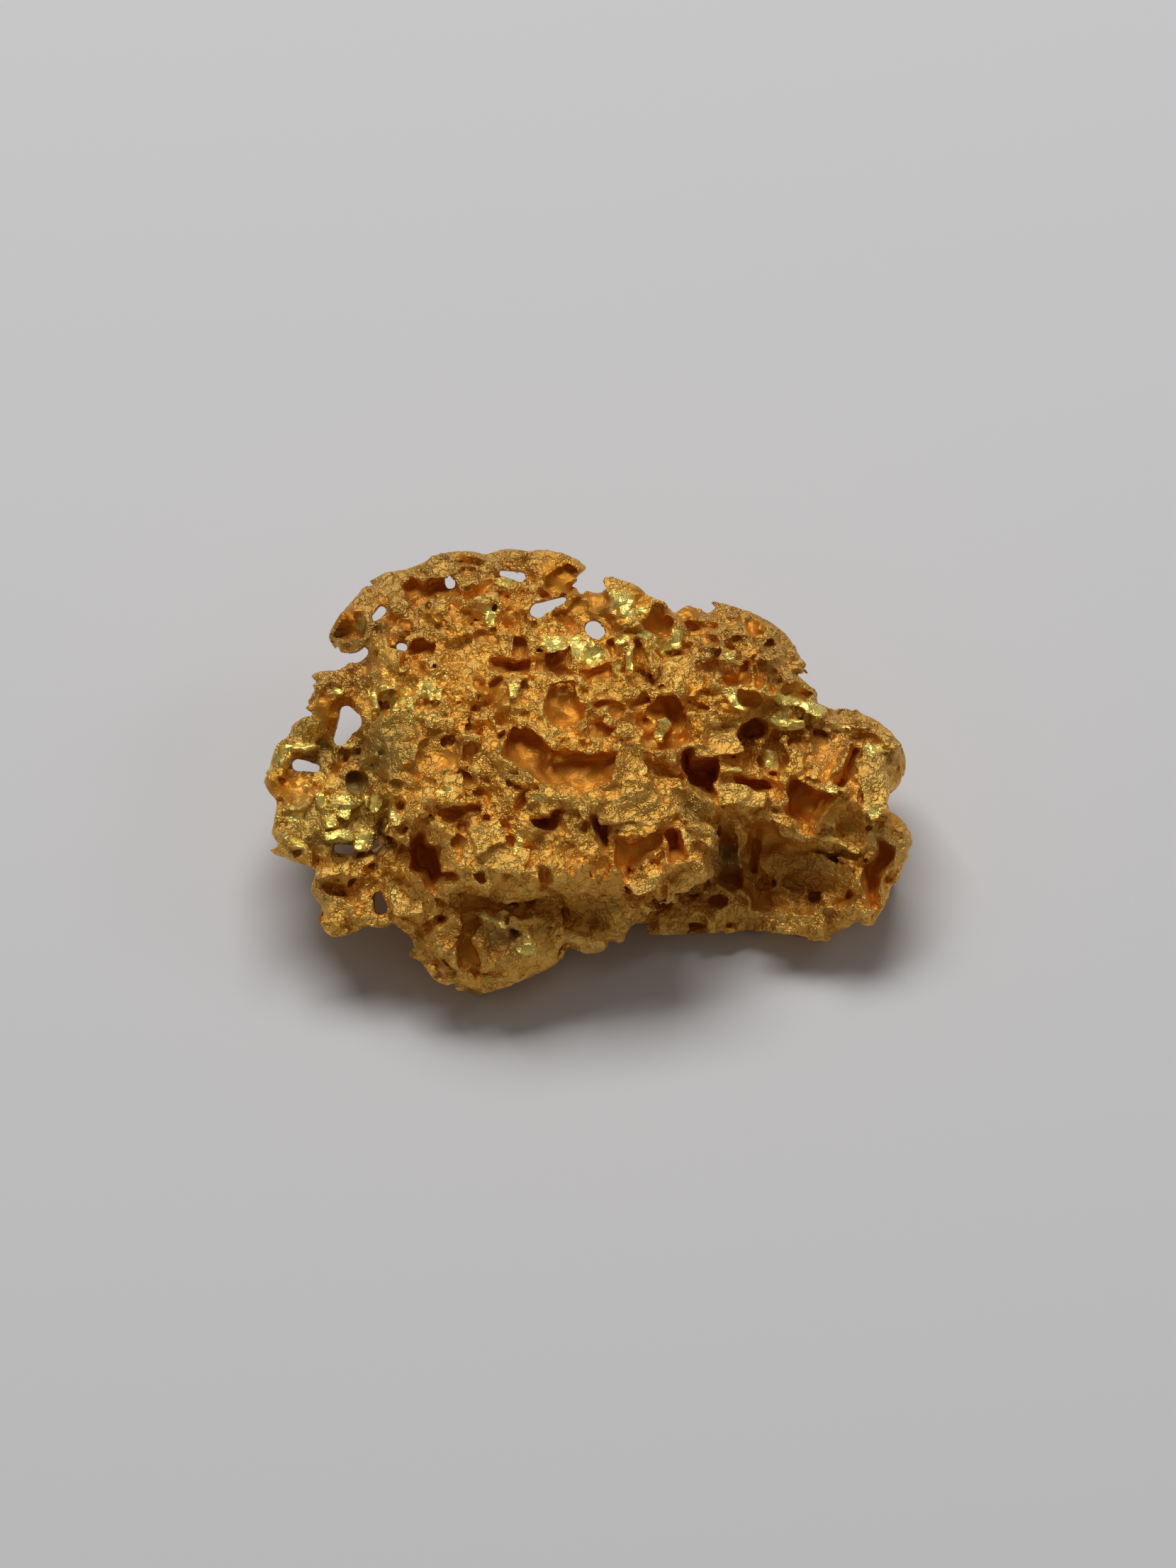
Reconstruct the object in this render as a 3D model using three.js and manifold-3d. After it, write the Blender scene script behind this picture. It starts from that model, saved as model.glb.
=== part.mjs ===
// A natural gold nugget, 24 mm long: one spongy lump of native gold that lies on a table.
// It is a crust of rounded lobes, eaten into by the flat-sided hollows that quartz crystals left,
// with thin wings along its back edge and a lacy, perforated sheet at its left end.
//
// Units are millimetres. +X is the nugget's length, +Y points to its back edge and +Z is up.
// The origin is on the table, under the centre of the nugget's box.
//
// The shape was measured in a picture plane, seen from the front and above. A place there is
// [u, v]: u to the right, v up the picture, from the middle of the nugget. Depth, w, runs
// towards the eye. One field, negative inside the gold, holds the whole shape, and the
// surface where it is zero is drawn out as triangles.

import * as THREE from "three";
import { mergeVertices } from "three/addons/utils/BufferGeometryUtils.js";
import Module from "manifold-3d";

// Driving sizes
const LENGTH = 24;
const MEASURED_LENGTH = 23.79; // tip to tip, in the units of the lists below
const LOOK_DOWN = THREE.MathUtils.degToRad(55); // the picture plane's eye is this far above the table

// How finely the surface is drawn
const CELL = 0.3;
const TRIANGLES = 9400;

// Lobes of gold, as ellipsoids: centre [x, y, z] over the table and half sizes
const LOBES = [
  { name: "core", at: [-1.0, -2.8, 4.2], half: [7.2, 5.4, 3.5] },
  { name: "left shoulder", at: [-5.6, -0.6, 5.2], half: [2.9, 3.4, 2.1] },
  { name: "left front", at: [-5.0, -6.2, 3.7], half: [2.3, 2.4, 2.3] },
  { name: "back wing", at: [-4.0, 2.7, 6.3], half: [5.6, 2.9, 1.1] },
  { name: "middle fin", at: [1.3, 1.4, 6.3], half: [2.7, 2.8, 1.5] },
  { name: "right arc", at: [5.6, 0.2, 5.5], half: [3.3, 2.9, 1.9] },
  { name: "waist", at: [5.4, -3.6, 2.8], half: [3.4, 2.7, 2.5] },
  { name: "right lobe", at: [8.7, -3.4, 3.6], half: [3.3, 2.9, 2.2] },
  { name: "right foot", at: [8.8, -4.0, 1.6], half: [2.6, 2.6, 2.4] },
  { name: "upper knuckle", at: [10.1, -2.2, 3.6], half: [1.9, 2.2, 2.0] },
  { name: "lower knuckle", at: [10.7, -5.0, 2.6], half: [1.4, 1.9, 1.9] },
  { name: "right heel", at: [8.6, -6.2, 0.9], half: [2.7, 1.8, 1.2] },
  { name: "front shelf", at: [4.6, -6.8, 0.8], half: [3.8, 1.0, 0.9] },
  { name: "chin", at: [0.4, -7.6, 2.7], half: [2.3, 1.6, 1.6] },
  { name: "front lump", at: [-3.5, -8.7, 1.9], half: [2.8, 2.0, 2.1] },
  { name: "inner wall", at: [4.4, -5.2, 1.8], half: [2.0, 1.6, 1.9] },
  { name: "beak", at: [3.2, -7.0, 4.7], half: [1.6, 1.6, 1.5] },
  { name: "brow", at: [-2.0, -6.4, 5.1], half: [4.6, 2.6, 1.6] },
  { name: "left foot tab", at: [-8.3, -7.1, 2.4], half: [2.0, 1.5, 1.0] },
  { name: "lacy sheet", at: [-9.2, -3.4, 4.0], half: [3.2, 3.6, 0.8] },
  { name: "left spur", at: [-8.8, 0.1, 5.2], half: [1.9, 1.2, 0.8] },
  { name: "back heel", at: [-2.6, 0.6, 1.6], half: [2.6, 2.2, 1.9] },
];
const LOBE_BLEND = 0.8; // how far two lobes flow into each other

// The nugget's outline in the picture plane, clockwise from its left tip
const OUTLINE = [
  [-12.0, -0.25], [-11.5, 0.05], [-11.2, 0.9], [-10.8, 1.3], [-10.65, 1.7], [-10.2, 1.95], [-9.85, 2.05],
  [-10.25, 2.35], [-10.28, 2.65], [-10.0, 2.95], [-10.3, 3.2], [-9.9, 3.55], [-9.4, 3.68], [-9.0, 3.65],
  [-8.6, 3.93], [-8.15, 4.0], [-7.85, 4.35], [-8.0, 4.55], [-8.3, 4.35], [-8.85, 4.33], [-9.2, 4.6],
  [-9.32, 4.95], [-9.1, 5.45], [-8.5, 6.25], [-7.9, 6.95], [-7.4, 7.25], [-6.5, 7.42], [-5.9, 7.65],
  [-5.3, 8.0], [-4.6, 8.07], [-4.1, 8.1], [-3.6, 7.98], [-2.8, 8.2], [-2.0, 8.08], [-1.5, 8.16],
  [-0.6, 7.95], [0.0, 7.68], [0.32, 7.4], [-0.12, 7.12], [-0.25, 6.8], [-0.05, 6.47], [0.15, 6.66],
  [0.55, 6.76], [0.75, 7.0], [1.0, 7.12], [1.6, 6.95], [2.15, 6.7], [2.5, 6.35], [3.0, 6.15],
  [3.4, 5.78], [3.6, 6.0], [4.2, 6.08], [4.85, 6.0], [4.75, 6.2], [5.5, 6.05], [6.5, 5.65],
  [7.2, 5.25], [7.7, 4.7], [8.0, 4.2], [8.4, 3.65], [8.48, 3.3], [8.2, 3.52], [7.8, 3.6],
  [8.1, 3.28], [8.6, 2.85], [8.85, 2.35], [9.3, 2.27], [9.95, 2.3], [10.2, 2.08], [10.8, 1.83],
  [11.4, 1.25], [11.78, 0.65], [11.83, 0.1], [11.6, -0.6], [11.22, -0.87], [11.15, -1.4],
  [11.55, -1.68], [11.95, -2.2], [12.03, -2.7], [11.7, -3.6], [11.3, -4.3], [11.0, -5.0],
  [10.6, -5.6], [10.2, -5.75], [10.0, -5.62], [9.85, -5.9], [9.3, -6.22], [8.2, -6.2],
  [7.6, -6.0], [6.2, -5.9], [4.5, -5.97], [2.6, -6.0], [1.95, -5.85], [1.4, -6.25],
  [0.4, -6.67], [-0.1, -6.6], [-0.55, -6.43], [-0.65, -6.75],
  [-1.2, -7.2], [-2.4, -7.72], [-3.8, -8.2], [-4.4, -8.12], [-5.3, -7.65], [-5.95, -6.95], [-6.35, -6.75],
  [-6.15, -6.4], [-6.3, -6.02], [-7.0, -5.8], [-7.8, -5.72], [-8.8, -6.05], [-9.3, -6.0], [-9.68, -5.6],
  [-9.55, -5.0], [-9.88, -4.4], [-9.72, -3.65], [-10.6, -3.3], [-11.25, -3.1], [-11.45, -2.92],
  [-11.1, -2.75], [-11.33, -2.3], [-11.22, -1.7], [-11.2, -1.1], [-11.6, -0.7],
];
const OUTLINE_STEPS = 3; // straight steps between two points of the curve
const EDGE_ROUND = 0.5; // how gently the crust turns over at the outline

// The rim that carries the outline: [u, v], height of its middle over the table and half its thickness
const RIM = [
  { at: [-12.0, -0.3], height: 4.6, half: 0.45 },
  { at: [-10.6, 1.7], height: 5.0, half: 0.4 },
  { at: [-10.2, 3.0], height: 5.3, half: 0.45 },
  { at: [-8.5, 4.0], height: 5.8, half: 0.5 },
  { at: [-9.3, 5.0], height: 6.0, half: 0.5 },
  { at: [-7.5, 7.2], height: 6.2, half: 0.55 },
  { at: [-5.0, 8.0], height: 6.4, half: 0.5 },
  { at: [-2.5, 8.1], height: 6.6, half: 0.45 },
  { at: [0.2, 7.4], height: 6.7, half: 0.4 },
  { at: [1.2, 7.0], height: 6.6, half: 0.6 },
  { at: [3.4, 5.9], height: 6.4, half: 0.7 },
  { at: [5.0, 6.0], height: 6.1, half: 0.6 },
  { at: [7.5, 5.0], height: 5.8, half: 0.6 },
  { at: [8.4, 3.4], height: 5.4, half: 0.55 },
  { at: [9.3, 2.3], height: 5.0, half: 0.7 },
  { at: [11.7, 0.7], height: 4.4, half: 0.8 },
  { at: [11.2, -1.0], height: 4.0, half: 0.8 },
  { at: [12.0, -2.6], height: 3.4, half: 0.9 },
  { at: [11.0, -5.0], height: 2.4, half: 0.9 },
  { at: [10.0, -5.7], height: 1.6, half: 0.8 },
  { at: [8.5, -6.2], height: 0.8, half: 0.8 },
  { at: [6.0, -5.9], height: 0.8, half: 0.6 },
  { at: [3.0, -5.9], height: 0.9, half: 0.6 },
  { at: [1.5, -6.2], height: 2.2, half: 0.7 },
  { at: [0.0, -6.6], height: 2.4, half: 0.7 },
  { at: [-1.0, -7.0], height: 2.2, half: 0.7 },
  { at: [-3.8, -8.1], height: 1.4, half: 0.9 },
  { at: [-5.8, -7.1], height: 2.0, half: 0.8 },
  { at: [-6.5, -6.0], height: 2.4, half: 0.7 },
  { at: [-8.8, -6.0], height: 2.4, half: 0.6 },
  { at: [-9.7, -5.0], height: 2.9, half: 0.6 },
  { at: [-10.5, -3.3], height: 3.4, half: 0.45 },
  { at: [-11.4, -2.9], height: 3.6, half: 0.4 },
  { at: [-11.3, -1.5], height: 4.1, half: 0.4 },
];
const RIM_BLEND = 1.5; // how far one rim point's height and thickness run into the next

// Holes right through, as slots from one end to the other with a radius at each
const HOLES = [
  { name: "wing pinhole", from: [-4.9, 7.02], to: [-4.88, 6.9], radius: [0.2, 0.2] },
  { name: "wing tip hole", from: [-7.62, 5.62], to: [-7.4, 5.88], radius: [0.16, 0.18] },
  { name: "wing slot", from: [-2.95, 7.28], to: [-2.3, 7.14], radius: [0.13, 0.19] },
  { name: "tear between wing and fin", from: [-1.65, 5.88], to: [-0.72, 6.28], radius: [0.3, 0.13] },
  { name: "fin hole", from: [0.4, 5.2], to: [0.5, 5.12], radius: [0.33, 0.33] },
  { name: "shoulder pinhole", from: [-6.72, 4.55], to: [-6.58, 4.52], radius: [0.15, 0.15] },
  { name: "window, upper", from: [-8.68, 2.1], to: [-8.5, 1.8], radius: [0.28, 0.42] },
  { name: "window, lower", from: [-8.6, 1.8], to: [-8.9, 1.15], radius: [0.42, 0.26] },
  { name: "lace slot", from: [-10.45, 0.2], to: [-9.8, 0.08], radius: [0.24, 0.16] },
  { name: "lace hole", from: [-8.95, -2.85], to: [-8.5, -2.9], radius: [0.16, 0.2] },
  { name: "tab hole", from: [-7.45, -4.6], to: [-7.35, -5.0], radius: [0.18, 0.26] },
];

// Hollows that the quartz left on the side that is seen: depth below the crust, and the outline of
// the mouth in the picture plane
const HOLLOWS = [
  { name: "front recess", depth: 1.2, loop: [
      [2.7, -5.15], [3.4, -4.7], [4.25, -3.95], [4.75, -3.85], [5.2, -4.3], [5.25, -4.9], [4.6, -5.2],
      [3.4, -5.25],
  ] },
  { name: "wall line", depth: 1.15, loop: [
      [9.1, -4.3], [9.7, -4], [9.85, -4.3], [9.3, -4.7],
  ] },
  { name: "wall slit", depth: 1.3, loop: [
      [6.75, -3.7], [7, -3.65], [7.1, -4.1], [6.85, -4.2],
  ] },
  { name: "long hollow", depth: 0.92, loop: [
      [-2.83, 1.67], [-1.83, 1.63], [-1.45, 1.2], [-1.1, 0.72], [0, 0.72], [0.85, 0.63], [1.4, 0.66],
      [1.15, 0.1], [0.95, -0.45], [0.5, -0.75], [-0.2, -0.83], [-0.75, -0.67], [-1.5, -0.46],
      [-2.1, -0.1], [-2.7, 0.35], [-2.85, 0.9],
  ] },
  { name: "middle hollow", depth: 0.76, loop: [
      [-1.33, 3.05], [-0.75, 3.3], [-0.29, 3.2], [-0.1, 2.6], [0.1, 1.85], [-0.08, 1.5], [-0.7, 1.4],
      [-1.17, 1.67], [-1.33, 2.25],
  ] },
  { name: "corner pocket", depth: 0.96, loop: [
      [-3.33, 4.08], [-2.75, 4.17], [-2.0, 4.17], [-1.75, 3.75], [-1.92, 3.42], [-2.4, 3.38],
      [-3.0, 3.6], [-3.3, 3.75],
  ] },
  { name: "corner pocket, upper", depth: 0.48, loop: [
      [-2.65, 5.0], [-2.2, 5.1], [-2.0, 4.4], [-2.2, 4.1], [-2.6, 4.2],
  ] },
  { name: "curved slot", depth: 0.88, loop: [
      [-3.45, 2.35], [-3.2, 2.67], [-2.83, 2.82], [-2.68, 2.7], [-3.0, 2.42], [-3.3, 2.1],
  ] },
  { name: "curved slot's shoulder", depth: 0.28, loop: [
      [-3.65, 2.5], [-3.3, 3.2], [-2.8, 3.35], [-2.5, 2.9], [-2.9, 2.5], [-3.3, 2.0],
  ] },
  { name: "side nick", depth: 0.44, loop: [
      [-4.05, 3.25], [-3.5, 3.32], [-3.55, 3.05], [-3.9, 2.98],
  ] },
  { name: "knob hollow", depth: 0.88, loop: [
      [2.15, 2.55], [2.67, 2.75], [3.42, 2.72], [3.8, 2.25], [3.92, 1.6], [3.85, 1], [3.4, 0.78],
      [2.4, 0.8], [2, 1.15], [1.7, 1.55], [1.9, 2.25],
  ] },
  { name: "knob hollow's sump", depth: 1.36, loop: [
      [1.9, 2.05], [2.3, 2.2], [2.5, 1.9], [2.4, 1.5], [1.95, 1.45],
  ] },
  { name: "dark hollow", depth: 2.1, loop: [
      [3.46, 0.67], [3.9, 0.83], [4.1, 0.52], [4.67, 0.54], [5.1, 0.5], [5.17, 0.0], [5.04, -0.5],
      [4.92, -1.0], [4.58, -1.2], [4.2, -0.8], [3.7, -0.67], [3.42, 0.0],
  ] },
  { name: "square pocket", depth: 1.5, loop: [
      [5.72, 1.68], [6.08, 1.95], [6.44, 2.04], [6.77, 1.62], [6.83, 1.17], [6.32, 1.02], [5.75, 1.08],
  ] },
  { name: "square pocket, lower", depth: 0.68, loop: [
      [5.54, 0.9], [5.84, 1.02], [6.38, 0.9], [6.44, 0.54], [6.2, 0.18], [5.72, -0.02], [5.42, 0.18],
  ] },
  { name: "moat", depth: 0.64, loop: [
      [6.86, 1.02], [7.4, 0.96], [7.64, 0.66], [7.58, 0.3], [7.34, 0.0], [7.1, -0.24], [6.68, -0.1],
      [6.3, 0.2], [6.4, 0.66],
  ] },
  { name: "low slot", depth: 0.96, loop: [
      [5.48, -0.24], [5.78, -0.1], [6.26, -0.15], [6.68, -0.3], [6.95, -0.66], [6.38, -0.8],
      [5.78, -0.72], [5.5, -0.48],
  ] },
  { name: "right basin", depth: 1.2, loop: [
      [7.46, -0.42], [7.75, -0.15], [8.1, -0.35], [8.6, -0.72], [9.1, -1.05], [8.78, -1.56],
      [8.36, -2.16], [7.82, -1.92], [7.46, -1.62], [7.4, -1.08],
  ] },
  { name: "right scoop", depth: 0.32, loop: [
      [8.48, 1.5], [9.26, 1.38], [9.9, 1.0], [9.6, 0.6], [9.1, -0.1], [8.9, -0.66], [8.42, -0.06],
      [8.36, 0.66],
  ] },
  { name: "right slit", depth: 0.88, loop: [
      [10.16, 0.9], [10.3, 0.66], [9.98, 0.18], [9.68, -0.3], [9.38, -0.66], [9.02, -0.54],
      [9.05, -0.2], [9.4, -0.02], [9.62, 0.42], [9.86, 0.78],
  ] },
  { name: "side slit", depth: 0.88, loop: [
      [10.7, -2.34], [10.94, -2.4], [11.24, -2.76], [11.4, -3.06], [11.24, -3.54], [11.0, -3.9],
      [10.88, -4.38], [10.58, -5.04], [10.28, -4.92], [10.22, -4.26], [10.1, -3.78], [10.25, -3.45],
      [10.58, -3.1],
  ] },
  { name: "left pit", depth: 1.9, loop: [
      [-6.04, -2.13], [-5.75, -2.17], [-5.55, -2.5], [-5.0, -2.67], [-5.13, -3.08], [-4.92, -3.5],
      [-4.35, -3.75], [-4.63, -4.04], [-5.1, -4.17], [-5.42, -4.42], [-5.75, -4.2], [-6.0, -3.75],
      [-6.38, -3.42], [-6.4, -2.75],
  ] },
  { name: "left slot", depth: 0.8, loop: [
      [-5.25, -1.45], [-4.9, -1.17], [-4.33, -1.2], [-3.67, -1.2], [-3.0, -1.25], [-3.4, -1.48],
      [-4.0, -1.67], [-4.83, -1.82],
  ] },
  { name: "boat moat", depth: 0.6, loop: [
      [-2.5, -1.17], [-2.08, -0.75], [-1.58, -0.6], [-1.8, -1.0], [-2.15, -1.42], [-2.42, -1.55],
  ] },
  { name: "dark nook", depth: 1.3, loop: [
      [-1.83, -1.58], [-1.17, -1.55], [-0.5, -1.25], [-0.67, -1.58], [-0.92, -2.0], [-1.17, -2.33],
      [-1.5, -2.2], [-1.75, -1.92],
  ] },
  { name: "upright slot", depth: 1.3, loop: [
      [0.36, -1.5], [0.67, -1.5], [1.0, -1.92], [1.04, -2.33], [0.92, -2.75], [0.71, -3.25],
      [0.58, -2.83], [0.42, -2.17],
  ] },
  { name: "shaded scoop", depth: 0.68, loop: [
      [1.04, -2.5], [1.5, -2.52], [2.17, -2.42], [2.75, -2.25], [3.2, -2.1], [3.05, -2.67], [2.5, -3.0],
      [2.08, -3.5], [1.7, -4.0], [1.35, -3.65], [1.05, -3.1],
  ] },
  { name: "amber pocket", depth: 1, loop: [
      [1.25, -3.3], [2.0, -3.25], [1.7, -3.95], [1.4, -3.7],
  ] },
  { name: "beak slot", depth: 1.4, loop: [
      [3.04, -2.33], [3.38, -2.08], [3.63, -2.25], [3.67, -2.75], [3.83, -3.25], [3.33, -3.33],
      [3.17, -3.58], [2.92, -3.08],
  ] },
  { name: "cavern", depth: 1.2, loop: [
      [4.95, -2.05], [5.5, -1.95], [5.75, -2.4], [5.7, -3.1], [5.9, -3.6], [6, -4.2], [5.5, -4.5],
      [4.8, -4.2], [4.5, -3.8], [4.85, -3.2], [4.95, -2.6],
  ] },
  { name: "cavern window", depth: 2.0, loop: [
      [5.8, -2], [6.15, -2.2], [6.1, -2.6], [5.97, -3.3], [5.7, -3.2], [5.75, -2.6],
  ] },
  { name: "wall hollow, left", depth: 1.5, loop: [
      [6.1, -2.2], [6.5, -2.3], [6.7, -3], [6.6, -3.8], [6.15, -3.9], [6, -3],
  ] },
  { name: "wall hollow, wide", depth: 0.85, loop: [
      [5.95, -2.2], [6.4, -1.75], [7.3, -2.25], [8, -2.5], [8.3, -2.75], [9.2, -3.05], [9.95, -3.5],
      [9.7, -4], [9.95, -4.5], [9.5, -5], [8.9, -4.9], [8.3, -5.3], [7.4, -5.15], [6.9, -5.45],
      [6.3, -5.2], [6.1, -4.7], [5.7, -4.3], [5.9, -3.3],
  ] },
  { name: "wall hollow, right", depth: 1.1, loop: [
      [8.1, -4.35], [8.8, -4.4], [9, -4.85], [8.4, -5], [8.05, -4.8],
  ] },
  { name: "wall hollow, low", depth: 1.12, loop: [
      [6.7, -4.6], [7.4, -4.5], [7.6, -5.05], [7.1, -5.2], [6.65, -5],
  ] },
  { name: "arc pocket", depth: 0.68, loop: [
      [5.0, 3.24], [5.48, 3.42], [5.84, 3.96], [6.14, 4.02], [6.14, 3.3], [5.78, 2.94], [5.3, 3.0],
  ] },
  { name: "arc pocket, right", depth: 0.6, loop: [
      [6.26, 4.02], [6.86, 4.0], [6.86, 3.72], [6.62, 3.18], [6.32, 3.06], [6.2, 3.42],
  ] },
  { name: "arc pocket, bright", depth: 0.52, loop: [
      [5.7, 2.85], [6.2, 2.95], [6.55, 2.6], [6.5, 2.3], [6.0, 2.25], [5.6, 2.4],
  ] },
  { name: "arc slot", depth: 0.72, loop: [
      [6.74, 3.4], [6.98, 3.3], [7.1, 2.94], [6.98, 2.86], [6.68, 3.2],
  ] },
  { name: "arc nick", depth: 0.44, loop: [
      [6.9, 3.75], [7.3, 3.7], [7.15, 3.4], [6.9, 3.5],
  ] },
  { name: "step nick", depth: 0.48, loop: [
      [4.1, 2.45], [4.7, 2.42], [4.7, 2.2], [4.2, 2.18],
  ] },
  { name: "step line", depth: 0.28, loop: [
      [4.85, 2.42], [5.4, 2.32], [5.8, 2.15], [5.2, 2.12],
  ] },
  { name: "crest hollow", depth: 0.4, loop: [
      [7.3, 3.1], [8.0, 3.15], [8.45, 2.75], [8.0, 2.65], [7.4, 2.7],
  ] },
  { name: "wing hollow", depth: 0.72, loop: [
      [-6.58, 6.8], [-6.2, 7.12], [-5.69, 6.85], [-5.1, 7.1], [-4.6, 6.8], [-4.55, 6.36], [-5.56, 6.36],
      [-6.5, 6.3],
  ] },
  { name: "wing tip scoop", depth: 0.4, loop: [
      [-8.86, 5.3], [-8.1, 5.9], [-7.97, 5.5], [-8.04, 4.8], [-8.73, 4.72], [-9.0, 4.85],
  ] },
  { name: "shoulder hollow", depth: 0.88, loop: [
      [-6.6, 4.3], [-6.3, 4.9], [-5.7, 4.77], [-5.37, 4.39], [-5.8, 4.07], [-6.4, 4.0], [-6.6, 3.6],
      [-6.8, 3.9],
  ] },
  { name: "wing end scoop", depth: 0.36, loop: [
      [-1.9, 6.35], [-1.4, 6.93], [-0.87, 7.5], [0.0, 7.45], [-0.3, 6.95], [-0.35, 6.6], [-0.9, 6.5],
      [-1.63, 6.25],
  ] },
  { name: "fin scoop", depth: 0.36, loop: [
      [-0.2, 6.35], [0.77, 6.6], [0.9, 5.9], [1.28, 5.4], [0.14, 5.53], [-0.62, 5.66], [-1.2, 5.55],
      [-0.8, 5.95],
  ] },
  { name: "ball socket", depth: 0.52, loop: [
      [2.42, 5.66], [2.8, 6.0], [3.25, 5.66], [3.4, 5.28], [3.05, 4.9], [2.42, 5.02], [2.17, 5.4],
  ] },
  { name: "fin pit", depth: 0.36, loop: [
      [-1.0, 5.5], [-0.75, 5.62], [-0.5, 5.5], [-0.75, 5.3],
  ] },
  { name: "wing pit", depth: 1.2, loop: [
      [-3.52, 6.2], [-3.28, 6.2], [-3.26, 5.85], [-3.5, 5.82],
  ] },
  { name: "bright pocket", depth: 0.6, loop: [
      [-0.1, 3.72], [0.3, 3.6], [0.85, 3.85], [1.15, 3.6], [1.0, 3.2], [0.6, 3.0], [0.05, 3.1],
  ] },
  { name: "strip, right", depth: 0.44, loop: [
      [1.85, 4.9], [2.2, 4.8], [2.3, 3.7], [1.95, 3.4], [1.8, 4.0],
  ] },
  { name: "strip, left", depth: 0.36, loop: [
      [0.78, 4.85], [1.05, 5.0], [1.12, 4.4], [0.98, 3.9], [0.85, 4.3],
  ] },
  { name: "facet's shade", depth: 0.36, loop: [
      [-1.3, 4.5], [-0.6, 4.6], [-0.42, 4.2], [-0.5, 3.9], [-1.3, 4.0],
  ] },
  { name: "arc pit", depth: 0.48, loop: [
      [6.5, 4.7], [6.9, 4.75], [7.0, 4.3], [6.6, 4.2],
  ] },
  { name: "arc pit, upper", depth: 0.4, loop: [
      [6.0, 5.3], [6.2, 5.6], [6.5, 5.5], [6.5, 5.0], [6.2, 5.0],
  ] },
  { name: "wing dip", depth: 0.32, loop: [
      [-4.0, 5.0], [-3.4, 5.1], [-3.2, 4.6], [-3.8, 4.5],
  ] },
  { name: "wing nick", depth: 0.32, loop: [
      [-5.5, 5.35], [-5.0, 5.4], [-4.8, 5.1], [-5.3, 5.05],
  ] },
  { name: "smooth basin", depth: 0.22, loop: [
      [-5.93, 1.2], [-5.2, 1.36], [-4.4, 1.12], [-4.43, 0.65], [-4.35, 0.0], [-5.2, -0.2], [-6.0, 0.05],
  ] },
  { name: "amber nook", depth: 0.4, loop: [
      [-4.35, 0.89], [-3.96, 1.05], [-3.72, 0.65], [-4.04, 0.26], [-4.35, 0.18],
  ] },
  { name: "lace well", depth: 0.56, loop: [
      [-8.7, -0.05], [-8.2, 0.0], [-7.8, -0.4], [-8.1, -0.9], [-8.6, -0.8],
  ] },
  { name: "lace dip", depth: 0.24, loop: [
      [-11.1, -0.25], [-10.3, -0.4], [-9.9, -0.9], [-10.3, -1.4], [-10.9, -1.0],
  ] },
  { name: "tab hollow", depth: 0.4, loop: [
      [-9.4, -4.2], [-8.76, -4.07], [-8.05, -3.95], [-8.05, -4.4], [-8.37, -5.0], [-8.9, -4.7],
      [-9.25, -4.54],
  ] },
  { name: "tab hollow, right", depth: 0.48, loop: [
      [-7.8, -4.0], [-7.1, -3.5], [-7.03, -4.07], [-7.26, -4.46], [-7.66, -4.7],
  ] },
  { name: "lump channel", depth: 0.48, loop: [
      [-4.4, -5.1], [-3.85, -5.05], [-3.72, -5.48], [-3.96, -6.1], [-3.65, -6.98], [-3.72, -7.4],
      [-4.4, -7.3], [-4.6, -6.6], [-4.4, -5.88],
  ] },
  { name: "lump's shade line", depth: 0.52, loop: [
      [-4.4, -4.85], [-3.2, -4.8], [-2.1, -4.8], [-1.7, -5.1], [-2.2, -5.3], [-3.0, -5.1],
      [-4.3, -5.15],
  ] },
  { name: "lump hole", depth: 0.9, loop: [
      [-5.33, -5.3], [-4.9, -5.3], [-4.95, -5.58], [-5.33, -5.55],
  ] },
  { name: "crust pit, a", depth: 0.52, loop: [
      [-1.6, -3.5], [-1.2, -3.55], [-1.3, -4.1], [-1.6, -4.2],
  ] },
  { name: "crust pit, b", depth: 0.44, loop: [
      [-4.05, -3.65], [-3.7, -3.6], [-3.5, -3.9], [-3.9, -4.0],
  ] },
  { name: "crust pit, c", depth: 0.4, loop: [
      [-3.4, -4.1], [-2.9, -4.2], [-2.8, -4.6], [-3.3, -4.4],
  ] },
  { name: "crust pit, d", depth: 0.36, loop: [
      [-2.8, -2.5], [-2.3, -2.55], [-2.4, -2.9], [-2.8, -2.75],
  ] },
];
const HOLLOW_TAPER = 0.22; // how far a hollow's sides lean in, for each millimetre of depth
const HOLLOW_ROUND = 0.25; // between its sides and its floor
const HOLLOW_MOUTH = 1.2; // how far its mouth reaches out of the crust
const HOLLOW_BOWL = 0.25; // share of its depth that its floor lacks at the sides
const BOWL_WIDTH = 0.5;
const HOLLOW_TILT = 1.2; // steepest slope of the crust that a floor follows
const FLOOR_LEFT = 0.5; // gold that is left over the table
const LOOP_STEPS = 2;

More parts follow.
